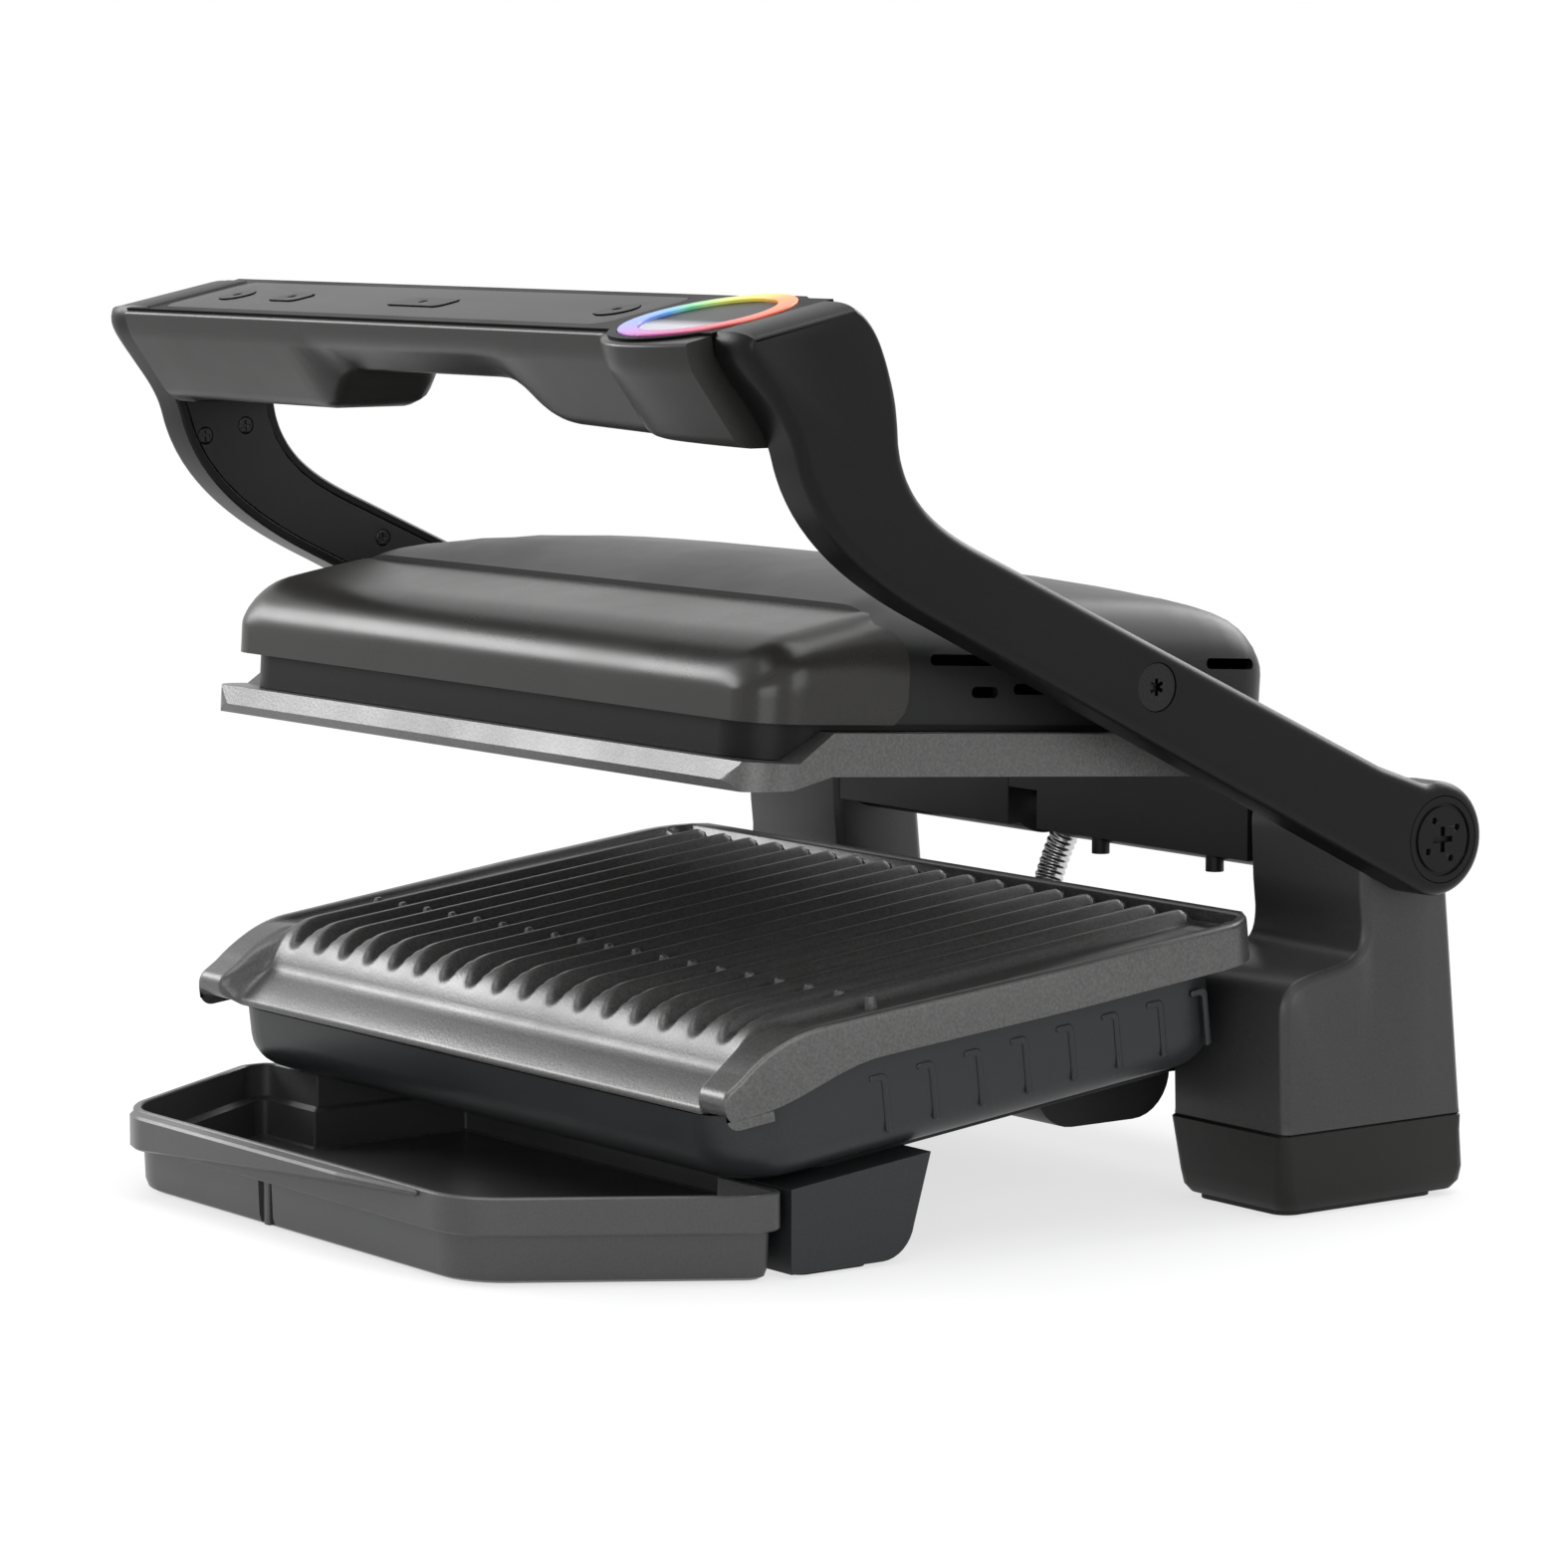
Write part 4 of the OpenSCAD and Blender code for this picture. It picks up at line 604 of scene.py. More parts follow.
def cut_away(piece, cutters, place):
    """Cuts skins out of a piece."""
    verts, faces = joined(cutters)
    mesh = bpy.data.meshes.new("cutter")
    mesh.from_pydata([place @ Vector(v) for v in verts], [], faces)
    shape = bmesh.new()
    shape.from_mesh(mesh)
    bmesh.ops.recalc_face_normals(shape, faces=shape.faces)
    shape.to_mesh(mesh)
    shape.free()
    tool = bpy.data.objects.new("cutter", mesh)
    bpy.context.scene.collection.objects.link(tool)
    bore = piece.modifiers.new("bore", "BOOLEAN")
    bore.object = tool
    bore.operation = "DIFFERENCE"
    bore.solver = "EXACT"
    applied(piece)
    bpy.data.objects.remove(tool)

# %% [markdown]
# ## Arms
# Each arm is one moulding: a round hub, a straight run, an S-bend and a broad end that wraps the
# handle. Its outer edge is softly rounded, much more at the top, where the arm's outer face
# leans over towards the handle. The inner side has a rim round the liner's shallow pocket.

# %% The arm's side outline
HUB_Z, HUB_R = hinge.z / MM, 18
ARM_IN, ARM_OUT, ARM_W = 165, 181, 23.5
DECK_D, DECK_TILT, DECK_T = 44, math.radians(11.8), 7
deck_back = Vector((-226, 289))
deck_front = deck_back - DECK_D * Vector((math.cos(DECK_TILT), math.sin(DECK_TILT)))
hub = Vector((0, HUB_Z))
arm_dir = Vector((-math.cos(ARM_ANGLE), math.sin(ARM_ANGLE)))
arm_nrm = Vector((math.sin(ARM_ANGLE), math.cos(ARM_ANGLE)))
lean = math.degrees(ARM_ANGLE)

bend_rear = hub + 198 * arm_dir + ARM_W / 2 * arm_nrm
bend_front = hub + 207 * arm_dir - (ARM_W / 2 + 1.5) * arm_nrm
neck_rear, neck_front = Vector((-213, 252)), Vector((-249, 245))
brow = deck_back + Vector((-10, 0.5))
NOSE_R = 9
nose = deck_front + Vector((NOSE_R + 0.6, 5.5 - NOSE_R))
chin = arc(nose, NOSE_R, 208, 208, 1)[0]
arm_outline = even(
    arc(hub, HUB_R, -90 - lean, 130 - lean, 40)
    + [hub + 1.8 * HUB_R * arm_dir + ARM_W / 2 * arm_nrm]
    + bezier(bend_rear, bend_rear + 19 * arm_dir, neck_rear + Vector((0, -24)), neck_rear)
    + bezier(neck_rear, neck_rear + Vector((-1.5, 18)), brow + Vector((16, 0.5)), brow)
    + [brow] + arc(nose, NOSE_R, 96, 200, 10)
    + bezier(chin, chin + Vector((3, -6)), neck_front + Vector((-3, 11)), neck_front)
    + bezier(neck_front, neck_front + Vector((6, -26)), bend_front + 26 * arm_dir, bend_front)
    + [bend_front], 2.2)
for point in arm_outline:
    if point.x < deck_back.x + 4:
        point.y = min(point.y, deck_back.y + (point.x - deck_back.x) * math.tan(DECK_TILT) + 0.25)
print("arm outline:", len(arm_outline), "points")

# %% [markdown]
# The outline becomes a skin in rings from the inner side to the outer. Up to the shoulder the edge
# is a plain quarter round. Above it the quarter grows wide, so the outer face leans inwards.

# %% Arms
EDGE_R, TOP_LEAN, LINER_RIM = 4.0, 8, 3.0
CAP_R, PIVOT_R = 13.8, 7.5
shoulder = [step(258, 284, p.y) for p in arm_outline]


def arm_form():
    rim = [(ARM_IN + 2.6, LINER_RIM), (ARM_IN + 0.2, LINER_RIM), (ARM_IN, LINER_RIM - 0.3), (ARM_IN, 0.7),
           (ARM_IN + 0.7, 0.0)]
    rings = [[(x, p.x, p.y) for p in inset(arm_outline, d)] for x, d in rim]
    for k in range(9):
        turn = math.radians(90 * k / 8)
        depth = [(EDGE_R - 0.8 * w) * (1 - math.cos(turn)) for w in shoulder]
        side = [ARM_OUT - (EDGE_R + TOP_LEAN * w) * (1 - math.sin(turn)) for w in shoulder]
        rings.append([(x, p.x, p.y) for x, p in zip(side, inset(arm_outline, depth))])
    return skin(rings)


def round_bar(y, z, radius, x0, x1, count=48):
    ring = arc((y, z), radius, 0, 360 * (count - 1) / count, count - 1)
    return skin([[(x, p.x, p.y) for p in ring] for x in (x0, x1)])


for side in ("right", "left"):
    arm = new_piece(f"arm_shell_{side}", arm_form(), TABLE, "arms", "arm_plastic", [f"arm_{side}"],
                    mirrored=side == "left", crease=math.radians(50))
    outward = 1 if side == "right" else -1
    cap_recess = round_bar(0, HUB_Z, CAP_R, outward * (ARM_OUT - 3), outward * (ARM_OUT + 2))
    pivot_recess = round_bar(PIVOT_Y, PIVOT_Z, PIVOT_R, outward * (ARM_OUT - 3.6), outward * (ARM_OUT + 2))
    cut_away(arm, [cap_recess, pivot_recess], TABLE)
    print("arm", side, "faces:", len(arm.data.polygons))

# %% [markdown]
# At its top the left arm swells inwards and takes hold of the deck's end, so that from the front
# its broad face seems to wrap the handle. On the right there is no room for this beside the
# indicator ring.

# %% Cheek at the left arm's top
CHEEK_REACH, CHEEK_REAR, CHEEK_FOOT = 13, -205, 249.0


def along_x(outline, levels):
    """A skin of a (y, z) outline along X. Each level is an x and how far the outline is drawn in."""
    return skin([[(x, p.x, p.y) for p in (inset(outline, d) if d else outline)] for x, d in levels])


held = even([Vector((min(p.x, CHEEK_REAR), max(p.y, CHEEK_FOOT))) for p in inset(arm_outline, -0.25)
             if p.y > CHEEK_FOOT - 6 and p.x < CHEEK_REAR + 15], 1.6)
cheek_in = ARM_IN - CHEEK_REACH
cheek_levels = [(ARM_IN + 1, 0.0), (cheek_in + 2.2, 0.0), (cheek_in + 1.0, 0.5), (cheek_in, 1.8)]
cheek = new_piece("arm_cheek_left", along_x(held, cheek_levels), TABLE, "arms", "arm_plastic", mirrored=True)
print("cheek faces:", len(cheek.data.polygons))

# %% [markdown]
# ## Handle
# The handle is one long moulding under the deck. Seen from the front its underside makes two
# lobes with a scoop for the fingers between them, and it swells under the round indicator. Each
# ring of the skin is the handle's side outline at one place along its length.

# %% The handle's underside
SCOOP_Z, LOBE_Z, RIGHT_END_Z = 263, 250, 247
underside = [Vector((-ARM_IN, LOBE_Z))]
underside += bezier((-66, LOBE_Z), (-57, LOBE_Z), (-58, SCOOP_Z), (-44, SCOOP_Z))
underside += bezier((34, SCOOP_Z), (54, SCOOP_Z), (52, LOBE_Z), (76, LOBE_Z))
underside += [Vector((76, LOBE_Z)), Vector((ARM_IN, RIGHT_END_Z))]
RING_X, RING_Y, POD_R = 137, 19.36, 30.2
down = Vector((math.sin(DECK_TILT), -math.cos(DECK_TILT)))
back = Vector((math.cos(DECK_TILT), math.sin(DECK_TILT)))


def rounded(corners, radii, count=6):
    """A closed outline whose corners are rounded by arcs, each with as many points."""
    outline = []
    for i, corner in enumerate(corners):
        here = Vector(corner)
        a = Vector(corners[i - 1]) - here
        b = Vector(corners[(i + 1) % len(corners)]) - here
        half = a.angle(b) / 2
        reach = min(radii[i] / math.tan(half), 0.48 * min(a.length, b.length))
        a, b = a.normalized(), b.normalized()
        centre = here + (a + b).normalized() * reach / math.cos(half)
        start, stop = here + a * reach - centre, here + b * reach - centre
        sweep = start.angle(stop)
        for k in range(count + 1):
            t = k / count
            turned = start * math.sin((1 - t) * sweep) + stop * math.sin(t * sweep)
            outline.append(centre + turned / math.sin(sweep))
    return outline


def height_at(profile, x):
    for a, b in zip(profile, profile[1:]):
        if x <= b.x:
            return a.y + (b.y - a.y) * (x - a.x) / max(b.x - a.x, 1e-6)
    return profile[-1].y


print("underside:", len(underside), "points, scoop", SCOOP_Z - LOBE_Z, "mm high")

# %% [markdown]
# The front of the handle swells out round under the indicator. Its rings stand close together
# where the underside or the front curves, and further apart where the handle runs straight.

# %% Handle body
def swell_at(x):
    """How far the front stands out: round under the indicator, and on towards the right arm."""
    swell = max(0.0, math.sqrt(max(POD_R ** 2 - (x - RING_X) ** 2, 0.0)) - RING_Y + 0.7)
    if x > RING_X:
        swell = max(swell, POD_R - RING_Y + 0.7 - 3.5 * ((x - RING_X) / 28) ** 2)
    return swell


def handle_ring(x):
    """The side outline at x. Its front runs up over the deck's edge, which shows as a fine line."""
    bottom = height_at(underside, x)
    swell = swell_at(x)
    top_rear = deck_back + down * (DECK_T - 0.4) + Vector((1.5, 0))
    ledge_rear = deck_front + down * (DECK_T - 0.4) + back * 3
    lip_rear = deck_front + down * 0.9 + back * 3
    lip_front = deck_front + down * 0.9 - back * (1.3 + swell)
    foot_front = Vector((-253 - 0.75 * swell, bottom))
    foot_rear = Vector((-214.4, bottom))
    belly = deck_front + down * (DECK_T + 1.5) - back * (0.9 + swell)
    corners = [top_rear, ledge_rear, lip_rear, lip_front, belly, foot_front, foot_rear]
    outline = rounded(corners, [1.2, 0.3, 0.3, 1.3, 12, 8, 7], 5)
    return [(x, p.x, p.y) for p in outline]


stations = [-165 + 2.0 * i for i in range(10)] + [-145 + 6.0 * i for i in range(15)]
stations += [-57 + 1.5 * i for i in range(15)] + [-34 + 6.0 * i for i in range(15)]
stations += [53 + 2.5 * i for i in range(21)] + [105.5 + 2.2 * i for i in range(27)] + [164.8]
handle = new_piece("handle_moulding", skin([handle_ring(x) for x in stations]), TABLE, "arms",
                   "handle_plastic", ["handle_body"], crease=math.radians(48))
print("handle faces:", len(handle.data.polygons))

# %% [markdown]
# ## Towers and shoes
# Each tower rises in one piece from a broad foot over a round shoulder to the neck under the hub.
# A soft outer edge catches the light all round. The dark shoe below flares out at the back.

# %% Towers and shoes
TOWER_IN, TOWER_OUT, TOWER_FRONT, TOWER_BACK = 109, 164, -50, 27
SHOE_H, SHOULDER, NECK, TOWER_EDGE = 27, 72, -16, 3.0
# Of each ring of a shoe: its height, how far the front, back and sides are drawn in, its corners
SHOE_RINGS = ((SHOE_H, 0.9, 0.9, 0.9, 3), (SHOE_H - 0.9, 0.1, 0, 0.1, 3), (SHOE_H - 6, 0.5, -0.6, 0.3, 4),
              (9, 1.8, -3.0, 1.2, 5), (4.5, 2.4, -2.6, 1.5, 6), (2, 4.2, -0.6, 3, 6))
tower_outline = even(
    [Vector((TOWER_FRONT + 1, SHOE_H)), Vector((TOWER_BACK, SHOE_H))] + arc(hub, HUB_R - 0.2, 0, 180, 24)
    + [Vector((NECK - 1, HUB_Z - 18))]
    + bezier((NECK, SHOULDER + 19), (NECK, SHOULDER + 8), (NECK - 4, SHOULDER + 8), (NECK - 12, SHOULDER + 6))
    + bezier((NECK - 12, SHOULDER + 6), (TOWER_FRONT + 6, SHOULDER + 4), (TOWER_FRONT, SHOULDER + 2),
             (TOWER_FRONT, SHOULDER - 8)) + [Vector((TOWER_FRONT, SHOULDER - 8))], 1.8)


def tower_form():
    edge = [(k * TOWER_EDGE / 6, TOWER_EDGE * (1 - math.sin(math.radians(15 * k)))) for k in range(7)]
    levels = [(TOWER_IN + x, d) for x, d in edge] + [(TOWER_OUT - x, d) for x, d in reversed(edge)]
    return skin([[(x, p.x, SHOE_H if q.y < SHOE_H + 1 else p.y)
                  for p, q in zip(inset(tower_outline, d), tower_outline)] for x, d in levels])


def shoe_form():
    rings = []
    for z, front_in, back_in, side_in, radius in SHOE_RINGS:
        x0, x1 = TOWER_IN + side_in, TOWER_OUT - side_in
        y0, y1 = TOWER_FRONT + front_in, TOWER_BACK - back_in
        outline = rounded([(x0, y0), (x1, y0), (x1, y1), (x0, y1)], [radius] * 4, 6)
        rings.append([(p.x, p.y, z) for p in outline])
    return skin(rings)


for side in ("right", "left"):
    tower = new_piece(f"tower_moulding_{side}", tower_form(), TABLE, "base", "tower_plastic",
                      [f"tower_{side}"], mirrored=side == "left", crease=math.radians(50))
    new_piece(f"shoe_moulding_{side}", shoe_form(), TABLE, "base", "shoe_plastic", [f"shoe_{side}"],
              mirrored=side == "left", crease=math.radians(40))
    print("tower", side, "faces:", len(tower.data.polygons))

# %% [markdown]
# ## Lower cooking plate
# The plate is die-cast and coated. Its ribs are round in section and pour over the front edge
# like a waterfall, so that fat runs down the grooves into the tray. The top is one grid of
# points: each row follows the rib tops, each column knows how deep it lies between two ribs, and
# the rim and the two cheeks take over at the sides. It is a sheet only, left open below, where
# little of it shows. A closed mesh, which a plate that is lifted off needs, has an underside too.

# %% Sizes of the lower plate
PLATE_HALF, PLATE_REAR, PLATE_FRONT = 157, 100.7, -91.3
RIB_PITCH, RIB_COUNT, RIB_H, FALL = 15.2, 18, 4.2, 13.5
RIB_START, RIB_END, FLANGE_Z, RIM_Z = -70.3, 87.7, -15, -2
LIP_Y, LIP_Z = -103.3, -22
last_rib = (RIB_COUNT - 1) / 2 * RIB_PITCH
print("ribs:", RIB_COUNT, "at a pitch of", RIB_PITCH, "mm")


def grid(rows):
    """Faces over rows of equally many 3-D points."""
    width = len(rows[0])
    verts = [point for row in rows for point in row]
    faces = [(j * width + i, j * width + i + 1, (j + 1) * width + i + 1, (j + 1) * width + i)
             for j in range(len(rows) - 1) for i in range(width - 1)]
    return verts, faces


def rib_share(x, tip):
    """1 on a rib's top and 0 in a groove. Towards a rib's tip the groove narrows to a point."""
    if abs(x) > last_rib + RIB_PITCH / 2:
        return 0.0
    nearest = round(x / RIB_PITCH - 0.5) + 0.5
    offset = abs(x - nearest * RIB_PITCH) / (RIB_PITCH / 2)
    return 1 - step(0.08 + 0.5 * tip, 0.66 + 0.34 * tip, offset)


def half_width(y):
    """Half the plate's width: round corners at the back, drawn in towards the cheeks."""
    corner = 22
    inside = PLATE_REAR - corner
    if y > inside:
        return PLATE_HALF - corner + math.sqrt(max(corner ** 2 - (y - inside) ** 2, 0.0))
    taper = (PLATE_REAR - 80 - y) / (PLATE_REAR - 80 - PLATE_FRONT)
    return PLATE_HALF - 7 * min(max(taper, 0.0), 1.0)


def plate_row(base, depth, side, cheek=0.0, tip=0.0):
    """A row: where the rib tops and the sides lie, the grooves' depth, and how far it has changed."""
    return dict(base=base, depth=depth, side=side, cheek=cheek, tip=tip)

# %% [markdown]
# The first rows climb the rim at the back and cross the gutter. Then come even rows along the
# ribs. The last ones pour over the front, run down the lip and turn in under it.

# %% Rows from the back to the lip
rows = []
for y, z in ((PLATE_REAR, FLANGE_Z), (PLATE_REAR, -8), (PLATE_REAR, -3.6), (PLATE_REAR - 0.5, -2.5),
             (PLATE_REAR - 1.6, RIM_Z), (PLATE_REAR - 5, RIM_Z), (PLATE_REAR - 6.2, -2.6),
             (PLATE_REAR - 6.8, -6.4), (PLATE_REAR - 7.6, -7), (PLATE_REAR - 9.5, -7),
             (PLATE_REAR - 12, -7), (RIB_END + 0.3, -RIB_H)):
    side_z = z if y > PLATE_REAR - 5.5 else RIM_Z
    rows.append(plate_row(Vector((y, z)), 0.0, Vector((y, side_z))))
for y in [RIB_END - 0.4, RIB_END - 1.2, RIB_END - 2.4] + [RIB_END - 4 - 6.0 * i for i in range(26)]:
    top = -1.6 * (1 - step(RIB_END - 3, RIB_END, RIB_END * 2 - 3 - y)) if y > RIB_END - 3 else 0.0
    rows.append(plate_row(Vector((y, top)), RIB_H + top, Vector((y, RIM_Z))))
fall = bezier((RIB_START, 0), (RIB_START - 10, 0), (PLATE_FRONT + 4.5, -FALL * 0.3), (PLATE_FRONT, -FALL), 20)
fall += [Vector((PLATE_FRONT, -FALL)), Vector((PLATE_FRONT - 1.2, -14.9)), Vector((PLATE_FRONT - 3.5, -16.2)),
         Vector((PLATE_FRONT - 7.5, -18.8)), Vector((LIP_Y, LIP_Z)), Vector((LIP_Y - 0.9, LIP_Z - 1)),
         Vector((LIP_Y - 0.7, LIP_Z - 2.4)), Vector((LIP_Y + 1.5, LIP_Z - 2.8)),
         Vector((PLATE_FRONT + 1, FLANGE_Z - 3))]
cheek_line = bezier((RIB_START, RIM_Z), (RIB_START - 12, RIM_Z + 0.4), (PLATE_FRONT - 2, -6),
                    (LIP_Y + 0.5, -13), 18)
cheek_line += arc((LIP_Y - 0.6, LIP_Z + 3.6), 4.6, 118, 266, 9)
cheek_line += [Vector((PLATE_FRONT, LIP_Z - 1))]
for k, base in enumerate(fall):
    t = min(k / 20, 1.0)
    share = k / (len(fall) - 1) * (len(cheek_line) - 1)
    low = min(int(share), len(cheek_line) - 2)
    side = cheek_line[low].lerp(cheek_line[low + 1], share - low)
    fade = 1 - step(0.45, 0.8, t)
    rows.append(plate_row(base, RIB_H * fade, side, step(0.0, 0.3, t), step(0.05, 0.8, t)))
for k, row in enumerate(rows):
    before, after = rows[max(k - 1, 0)]["base"], rows[min(k + 1, len(rows) - 1)]["base"]
    along = (after - before).normalized()
    normal = Vector((-along.y, along.x))
    row["inward"] = -normal if normal.y > 0 else normal
    row["foot"] = min(FLANGE_Z - 8.4 * (1 - step(-97, -52, row["side"].x)), row["side"].y - 0.3)
print("plate rows:", len(rows))

# %% [markdown]
# The columns run from the middle to the right edge, twelve to a rib, and end in a few that shape
# the rim. The left half mirrors them. At each crossing the rib, rim and cheek are blended.

# %% Columns and the finished plate
COLUMNS_PER_RIB, CHEEK_INNER, CHEEK_OUTER = 12, 130, 136.5
column_count = int(COLUMNS_PER_RIB * (last_rib / RIB_PITCH + 0.5)) + 1
columns = [i * RIB_PITCH / COLUMNS_PER_RIB for i in range(column_count)]
rim_columns = [(0.0, 0.0), (0.25, 0.0), (0.5, 0.0), (0.62, 0.12), (0.68, 0.6), (0.74, 1.0), (0.85, 1.0),
               (0.94, 1.0), (0.985, 0.9), (1.0, 0.7)]


def plate_point(row, x, side_share, drop):
    """A point of the plate's top: rib or groove, blended into the rim or the cheek."""
    low = row["base"] + row["inward"] * row["depth"] * (1 - rib_share(x, row["tip"]))
    point = low.lerp(row["side"], side_share)
    return (x, point.x, point.y - drop)


plate_rows = []
for row in rows:
    wide = half_width(row["side"].x)
    inner = columns[-1]
    right = [plate_point(row, x, row["cheek"] * step(CHEEK_INNER, CHEEK_OUTER, x), 0.0) for x in columns]
    for share, height in rim_columns:
        x = inner + 0.6 + (wide - inner - 0.6) * share
        cheeked = max(height if share < 0.9 else 1.0, row["cheek"] * step(CHEEK_INNER, CHEEK_OUTER, x))
        edge = (1 - height) * 5 if share > 0.9 else 0.0
        right.append(plate_point(row, x, cheeked, edge))
    right.append((wide, row["side"].x, min(right[-1][2] - 2, row["foot"])))
    plate_rows.append([(-x, y, z) for x, y, z in reversed(right[1:])] + right)
plate = new_piece("ribbed_plate", grid(plate_rows), PLATE, "base", "nonstick_plate", ["lower_plate"],
                  crease=math.radians(60))
print("plate faces:", len(plate.data.polygons))

# %% [markdown]
# The pips stand in the grooves: a row of them before the waterfall, and a loose cluster behind it
# that shows where the thickest food should lie. Each is a small pyramid with a blunt top.

# %% Pips in the grooves
pip_places = [(-last_rib + (i - 0.5) * RIB_PITCH, PLATE_FRONT + 48) for i in range(RIB_COUNT + 1)]
for line, count in enumerate((4, 4, 3)):
    pip_places += [((i + 1.5 - line) * RIB_PITCH, PLATE_FRONT + 98 + 13 * line) for i in range(count)]
PIP_RINGS = ((2.2, -RIB_H - 0.4), (1.9, -RIB_H + 1.5), (1.5, -1.1), (1.0, -0.5), (0.3, -0.3))
corners = [(math.cos(math.radians(a)), math.sin(math.radians(a))) for a in range(0, 360, 45)]
pips = [skin([[(x + r * across, y + r * along, z) for across, along in corners] for r, z in PIP_RINGS])
        for x, y in pip_places]
new_piece("plate_pips", joined(pips), PLATE, "base", "nonstick_plate")
print("pips:", len(pip_places))

# %% [markdown]
# ## Lid
# The front cover is a pillow of satin metal: it slopes up to the break line, and all its edges are
# generously round. The rear shell rises a little higher behind the break and falls in a long
# dome to the back. Both are thin shells: one grid of points, thickened inwards.

# %% Round walls of a shell
def section(foot_share, radius, inner, walls=4, count=8):
    """From the foot of a wall over its round edge inwards: distance from the edge, share of height."""
    up = [(0.0, foot_share * k / walls) for k in range(walls + 1)]
    over = [(radius * (1 - math.cos(a)), foot_share + (1 - foot_share) * math.sin(a))
            for a in (math.radians(90 * k / count) for k in range(1, count + 1))]
    return up + over + [(radius + d, 1.0) for d in inner]


def shared(foot_share, across, down):
    """How high a point stands where two rounded walls meet."""
    if across < foot_share or down < foot_share:
        return min(across, down)
    rest = 1 - foot_share
    return foot_share + rest * ((across - foot_share) / rest) * ((down - foot_share) / rest)


def corner_width(half, radius, distance):
    """Half the width where a round corner, seen from above, begins at a distance from the end."""
    if distance >= radius:
        return half
    return half - radius + math.sqrt(max(radius ** 2 - (radius - distance) ** 2, 0.0))

# %% [markdown]
# The cover's top slopes up to the break and bulges very slightly. Its sides run on behind the
# break and end there in a round.

# %% Front cover
COVER_HALF, LID_FRONT, LID_BREAK, LID_FOOT, FOOT_SHARE = 152, -124, -78, -14, 0.42
BROW_Y, BROW_Z, SLOPE, BULGE = -108, 11.5, 0.25, 0.00064


def cover_height(y):
    return BROW_Z + (y - BROW_Y) * SLOPE - BULGE * (y - BROW_Y) ** 2


def skirt_end(z):
    """Where the cover's side ends, behind the break line: rounded above and below."""
    high, low = max(z - 6, 0.0), max(-6 - z, 0.0)
    curl = min(max(high, low) / 9, 1.0)
    return -71 - 9 * (1 - math.sqrt(1 - curl ** 2))


def cover_rows():
    across = section(FOOT_SHARE, 15, [4, 12, 24, 40, 60, 84, 110])
    down = section(FOOT_SHARE, 17, [3, 8, 14, 20, 26, 29])
    made = []
    for distance, up in down:
        y = LID_FRONT + distance
        wide = corner_width(COVER_HALF, 16, distance)
        half_row = []
        for edge, level in across:
            z = LID_FOOT + (cover_height(y) - LID_FOOT) * shared(FOOT_SHARE, level, up)
            last = distance == down[-1][0] and edge < 12
            half_row.append((wide - edge, skirt_end(z) if last else y, z))
        half_row.append((0.0, y, half_row[-1][2]))
        made.append([(-x, y, z) for x, y, z in half_row[:-1]] + list(reversed(half_row)))
    return made


def shell(piece, wall):
    thick = piece.modifiers.new("wall", "SOLIDIFY")
    thick.thickness = wall * MM
    thick.offset = -1.0
    thick.use_even_offset = False
    return applied(piece, math.radians(40))


cover = shell(new_piece("front_cover", grid(cover_rows()), LID, "lid", "cover_metal", ["lid_cover"]), 1.8)
print("cover faces:", len(cover.data.polygons))

# %% [markdown]
# The rear shell is low at the break, crests just behind it and falls to the back. Across, it is
# crowned. The lower of the two heights holds, and a soft minimum rounds the line where they meet.

# %% Rear shell
LID_HALF, LID_BACK, DOME_H, SOFT = 149, 79, 31, 1.4
dome_side = (bezier((LID_BACK, 2), (LID_BACK, 13), (LID_BACK - 8, 18), (LID_BACK - 24, 22))
             + bezier((LID_BACK - 24, 22), (30, DOME_H - 2), (-10, DOME_H + 1), (-36, DOME_H))
             + bezier((-36, DOME_H), (-52, DOME_H - 1), (-66, 25), (LID_BREAK, 19.2)))
dome_side = sorted((Vector((p.x, p.y)) for p in dome_side if p.x < 60), key=lambda p: p.x)


def dome_height(x, y):
    back = 22 - (y - 55) * 0.3 if y > 55 else height_at(dome_side, y)
    crown = DOME_H + 1 - 7.6 * min(max((abs(x) - 40) / 81, 0.0), 1.3) ** 2
    return -SOFT * math.log(math.exp(-back / SOFT) + math.exp(-crown / SOFT)) + 0.9


def dome_rows():
    """Rows from the back wall to the break, and two that turn down there, marked by a share of -1."""
    across = section(0.5, 22, [4, 12, 24, 40, 60, 84, 106])
    down = section(0.5, 12, [4, 10, 18, 28, 40, 54, 68, 82, 96, 110, 122, 131, 138, 142, 144.9])
    made = []
    for distance, up in down + [(LID_BACK - LID_BREAK + 0.05, -1.0), (LID_BACK - LID_BREAK + 8, -1.0)]:
        y = LID_BACK - distance
        wide = corner_width(LID_HALF, 18, distance)
        half_row = []
        for edge, level in across:
            x = wide - edge
            top = dome_height(x, y) if up >= 0 else 13.0
            rise = shared(0.5, level, 1.0 if up < 0 else up)
            half_row.append((x, y, LID_FOOT + (top - LID_FOOT) * rise))
        half_row.append((0.0, y, half_row[-1][2]))
        made.append([(-x, y, z) for x, y, z in half_row[:-1]] + list(reversed(half_row)))
    return made


dome = shell(new_piece("rear_shell", grid(dome_rows()), LID, "lid", "lid_plastic", ["lid_rear"]), 2.4)
print("rear shell faces:", len(dome.data.polygons))

# %% [markdown]
# Steam and heat leave by slots in both sides. One more slot is on the right only: on the left the
# release key takes its place. The two bosses reach out to the arms, where the lid hangs.

# %% Vents, key opening and bosses
VENTS = [(-61, 3.5, 25), (-45, -6, 10), (-29, -5, 13), (12, 3.5, 17), (20, -6, 9)]
RIGHT_VENT, VENT_H = (47, 3.5, 20), 3.4


